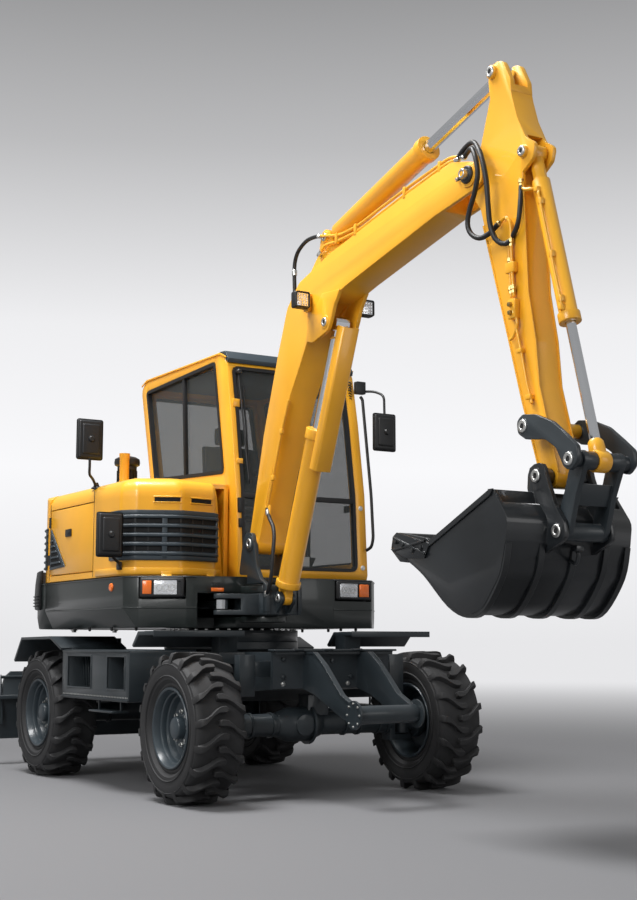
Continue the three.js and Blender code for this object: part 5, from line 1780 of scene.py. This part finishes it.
def makeUnderTrim():
    # fender chequer bars and edges
    for side in ("left", "right"):
        s = 1 if side == "left" else -1
        bars = []
        for i in range(17):
            for j in range(6):
                x = s * (410 + 33 * i)
                y = -868 + 34 * j
                turn = 1 if (i + j) % 2 else -1
                rows = [
                    [
                        mm(x - 9, y - 9 * turn - 2, 961.6), mm(x - 9, y - 9 * turn + 2, 961.6),
                        mm(x - 8, y - 8 * turn, 964.4)],
                    [
                        mm(x + 9, y + 9 * turn - 2, 961.6), mm(x + 9, y + 9 * turn + 2, 961.6),
                        mm(x + 8, y + 8 * turn, 964.4)]]
                bars.append(loft(rows))
        bars.append(
            block((min(s * 380, s * 975), -890, 930), (max(s * 380, s * 975), -884, 966), 1))
        finished(bars, "fender_chequer_" + side, "chassis", slate, 30)
        box = []
        dots = []
        for y0, y1 in ((92, 488), (-436, -164)):
            count = int((y1 - y0) / 44)
            for k in range(count):
                y = y0 + 22 + k * (y1 - y0 - 20) / count
                x = s * 826
                box.append(slab(
                    [(y, 618), (y + 7, 618), (y + 36, 806), (y + 29, 806)], "x", min(x, x + s * 24),
                    max(x, x + s * 24), 1, 1))
            box.append(loopSeal(
                [(y0 - 6, 606), (y1 + 6, 606), (y1 + 6, 818), (y0 - 6, 818)], "x", s * 944,
                s * 953.5, 10, 2))
        for k in range(44):
            y = -480 + 24 * k
            dots.append(turned(
                [(0, 0), (5, 0), (5, 3), (0, 4)], (s * 950, y, 566), (s * 951, y, 566), 8))
        box.append(block((min(s * 944, s * 958), -498, 548), (max(s * 944, s * 958), 582, 556), 2))
        box.append(block((min(s * 944, s * 956), -498, 836), (max(s * 944, s * 956), 582, 846), 2))
        finished(box, "toolbox_ribs_" + side, "chassis", slate, 40)
        finished(dots, "toolbox_studs_" + side, "chassis", zinc, 40)
        rungs = [
            block((min(s * 860, s * 975), -300, 470), (max(s * 860, s * 975), 60, 482), 3),
            block((min(s * 900, s * 912), -296, 478), (max(s * 900, s * 912), -284, 545), 2),
            block((min(s * 900, s * 912), 44, 478), (max(s * 900, s * 912), 56, 545), 2)]
        finished(rungs, "step_rung_" + side, "chassis", slate, 40)
    plates = []
    for x0, x1 in ((-206, -198), (198, 206)):
        rows = []
        for y, z in (
            (-1236, 843), (-1385, 842), (-1440, 812), (-1500, 768), (-1680, 610), (-1800, 556),
            (-1862, 520)):
            rows.append([mm(x0, y, z - 10), mm(x1, y, z - 10), mm(x1, y, z + 2), mm(x0, y, z + 2)])
        plates.append(loft(rows))
    plates.append(block((-420, -1322, 846), (420, -1240, 858), 4))
    for x in (-260, -60, 140):
        plates.append(block((x - 34, -1326, 850), (x + 34, -1296, 862), 3))
    plates.append(
        turned([(0, -3), (78, -3), (78, 9), (0, 9)], (-202, -1820, 505), (-206, -1820, 505), 36))
    plates.append(
        turned([(0, -3), (78, -3), (78, 9), (0, 9)], (202, -1820, 505), (206, -1820, 505), 36))
    for x, y, z in (
        (-330, -1268, 700), (330, -1268, 700), (-330, -1268, 800), (330, -1268, 800),
        (-130, -1268, 700), (130, -1268, 700), (0, -1268, 790)):
        plates.append(boltAt((x, y + 6, z), (0, -1, 0), 13, 10))
    finished(plates, "chassis_plates", "chassis", slate, 40)
    bolts = []
    for side in (-211, 211):
        for k in range(8):
            angle = 2 * math.pi * k / 8
            bolts.append(boltAt(
                (side, -1820 + 62 * math.cos(angle), 505 + 62 * math.sin(angle)),
                (1 if side > 0 else -1, 0, 0), 6, 6))
    for x in (-330, -110, 110, 330):
        bolts.append(boltAt((x, -1262, 660), (0, -1, 0), 11, 8))
    finished(bolts, "chassis_bolts", "chassis", zinc, 30)
    body = bodyOf("front_axle")
    axle = [turned(
        [(80, 62), (118, 62), (118, 78), (80, 78)], (-115, -1052.5, 418), (-114, -1052.5, 418), 36)]
    for k in range(12):
        angle = 2 * math.pi * k / 12
        axle.append(boltAt(
            (-37, -1052.5 + 109 * math.cos(angle), 418 + 109 * math.sin(angle)), (1, 0, 0), 6, 6))
    for x in (-500, -440, -300, 200, 300, 440, 500):
        axle.append(turned(
            [(60, -7), (74, -7), (74, 7), (60, 7)], (x, -1052.5, 418), (x + 1, -1052.5, 418), 24))
    axle.append(pipe([mm(-470, -980, 420), mm(0, -972, 420), mm(470, -980, 420)], 12))
    axle.append(turned(
        [(0, -160), (34, -160), (34, 160), (0, 160)], (60, -958, 470), (61, -958, 470), 24))
    finished(axle, "front_axle_details", body, slate, 40)
    steer = [turned(
        [(0, -250), (14, -250), (14, 250), (0, 250)], (60, -958, 470), (61, -958, 470), 20)]
    finished(steer, "steering_rod", body, chrome, 40)
    body = bodyOf("rear_axle")
    rear = [turned(
        [(100, 64), (136, 64), (136, 80), (100, 80)], (0, 1052.5, 418), (1, 1052.5, 418), 36)]
    for x in (-560, -420, -160, 160, 420, 560):
        rear.append(turned(
            [(60, -7), (78, -7), (78, 7), (60, 7)], (x, 1052.5, 418), (x + 1, 1052.5, 418), 24))
    for k in range(12):
        angle = 2 * math.pi * k / 12
        rear.append(boltAt(
            (80, 1052.5 + 126 * math.cos(angle), 418 + 126 * math.sin(angle)), (1, 0, 0), 6, 6))
    finished(rear, "rear_axle_details", body, slate, 40)
    body = bodyOf("blade")
    ribs = []
    for x in (-900, -600, -420, 420, 600, 900):
        ribs.append(slab([(1960, 300), (1900, 300), (1960, 660)], "x", x - 6, x + 6, 2))
    ribs.append(block((-962, 1986, 190), (962, 2002, 262), 3))
    ribs.append(pipe([mm(-900, 1964, 640), mm(900, 1964, 640)], 12))
    for x in range(-900, 901, 200):
        ribs.append(boltAt((x, 2002, 226), (0, 1, 0), 12, 6))
    finished(ribs, "blade_ribs", body, slate, 40)


def mirrorHead(x0, x1, y, z0, z1, deep=34):
    # the back of the shell steps down to a rim, with a ball joint in its middle
    middleX, middleZ = (x0 + x1) / 2, (z0 + z1) / 2
    shell = block((x0, y + deep * 0.45, z0), (x1, y + deep, z1), 15, 4)
    rise = block((x0 + 9, y + 4, z0 + 9), (x1 - 9, y + deep - 6, z1 - 9), 14, 4)
    crown = block((x0 + 30, y - 8, z0 + 34), (x1 - 30, y + 14, z1 - 34), 11, 4)
    joint = turned(
        [(0, -22), (14, -22), (20, -14), (24, -4), (24, 4), (0, 4)], (middleX, y, middleZ),
        (middleX, y + 1, middleZ), 24)
    return joined([shell, rise, crown, joint])


def makeMirrors():
    # mirrors with their arms, pre-cleaner and exhaust
    right = [
        mirrorHead(-1070, -890, 100, 2064, 2330),
        pipe(bentPath([
            mm(-980, 118, 2120), mm(-977, 122, 2020), mm(-972, 140, 1972), mm(-915, 205, 1945),
            mm(-885, 232, 1900)], 30), 9),
        turned(
            [(0, 0), (34, 0), (34, 8), (20, 16), (12, 40), (0, 40)], (-880, 236, 1893),
            (-884, 232, 1920), 20)]
    made = finished(right, "mirror_right_shell", "upper", plastic, 40)
    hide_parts("mirror_right")
    left = [
        mirrorHead(905, 1090, -372, 2204, 2468), block((862, -215, 2618), (936, -168, 2706), 6),
        pipe(bentPath([
            mm(925, -190, 2640), mm(985, -240, 2640), mm(1010, -330, 2600), mm(1002, -344, 2500),
            mm(1000, -352, 2400)], 40), 9),
        turned(
            [(0, 0), (20, 0), (20, 20), (12, 26), (0, 26)], (1000, -344, 2350), (1000, -330, 2350),
            20),
        pipe(bentPath([
            mm(906, -190, 2600), mm(912, -205, 2580), mm(918, -300, 1900), mm(914, -330, 1600),
            mm(906, -318, 1540), mm(890, -280, 1520)], 30), 11)]
    made = finished(left, "mirror_left_shell", "upper", plastic, 40)
    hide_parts("mirror_left")
    front = [
        mirrorHead(-1135, -962, -420, 1408, 1682),
        turned([(0, 0), (18, 0), (18, 24), (0, 24)], (-1040, -392, 1545), (-1040, -380, 1545), 20),
        pipe(bentPath([
            mm(-1040, -376, 1545), mm(-1036, -360, 1440), mm(-985, -330, 1400),
            mm(-940, -300, 1380), mm(-925, -262, 1360)], 30), 9),
        block((-936, -290, 1340), (-918, -240, 1390), 4)]
    made = finished(front, "mirror_front_shell", "upper", plastic, 40)
    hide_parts("mirror_front_right")
    faces = [
        block((-1058, 134.4, 2078), (-902, 137, 2316), 1),
        block((917, -337.6, 2218), (1078, -335, 2454), 1),
        block((-1124, -385.6, 1420), (-973, -383, 1670), 1)]
    finished(faces, "mirror_faces", "upper", mirrorGlass, 40)
    dome = [turned([
        (0, 0), (76, 0), (80, 8), (80, 30), (72, 40), (60, 44), (60, 120), (66, 126), (66, 150),
        (84, 158), (88, 176), (84, 200), (60, 214), (24, 222),
        (0, 224)], (-560, 480, 1934), (-560, 480, 1935), 40)]
    for k in range(16):
        angle = 2 * math.pi * k / 16
        x, y = -560 + 66 * math.cos(angle), 480 + 66 * math.sin(angle)
        dome.append(pipe([mm(x, y, 1976), mm(x, y, 2056)], 4, 2))
    made = finished(dome, "pre_cleaner_shell", "upper", plastic, 35)
    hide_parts("pre_cleaner")
    stack = [turned([
        (0, 0), (52, 0), (52, 6), (34, 10), (32, 60), (32, 190), (36, 214), (36, 226), (30, 226),
        (30, 120), (0, 118)], (-650, 320, 1924), (-650, 318, 2150), 36)]
    made = finished(stack, "exhaust_stack", "upper", yellow, 40)
    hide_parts("exhaust_pipe")


makeBoomTrim()
makeLamps()
makeArmTrim()
makeBucketTrim()
print("working arm trim made")
makeUnderTrim()
makeMirrors()
print("lower structure trim made")
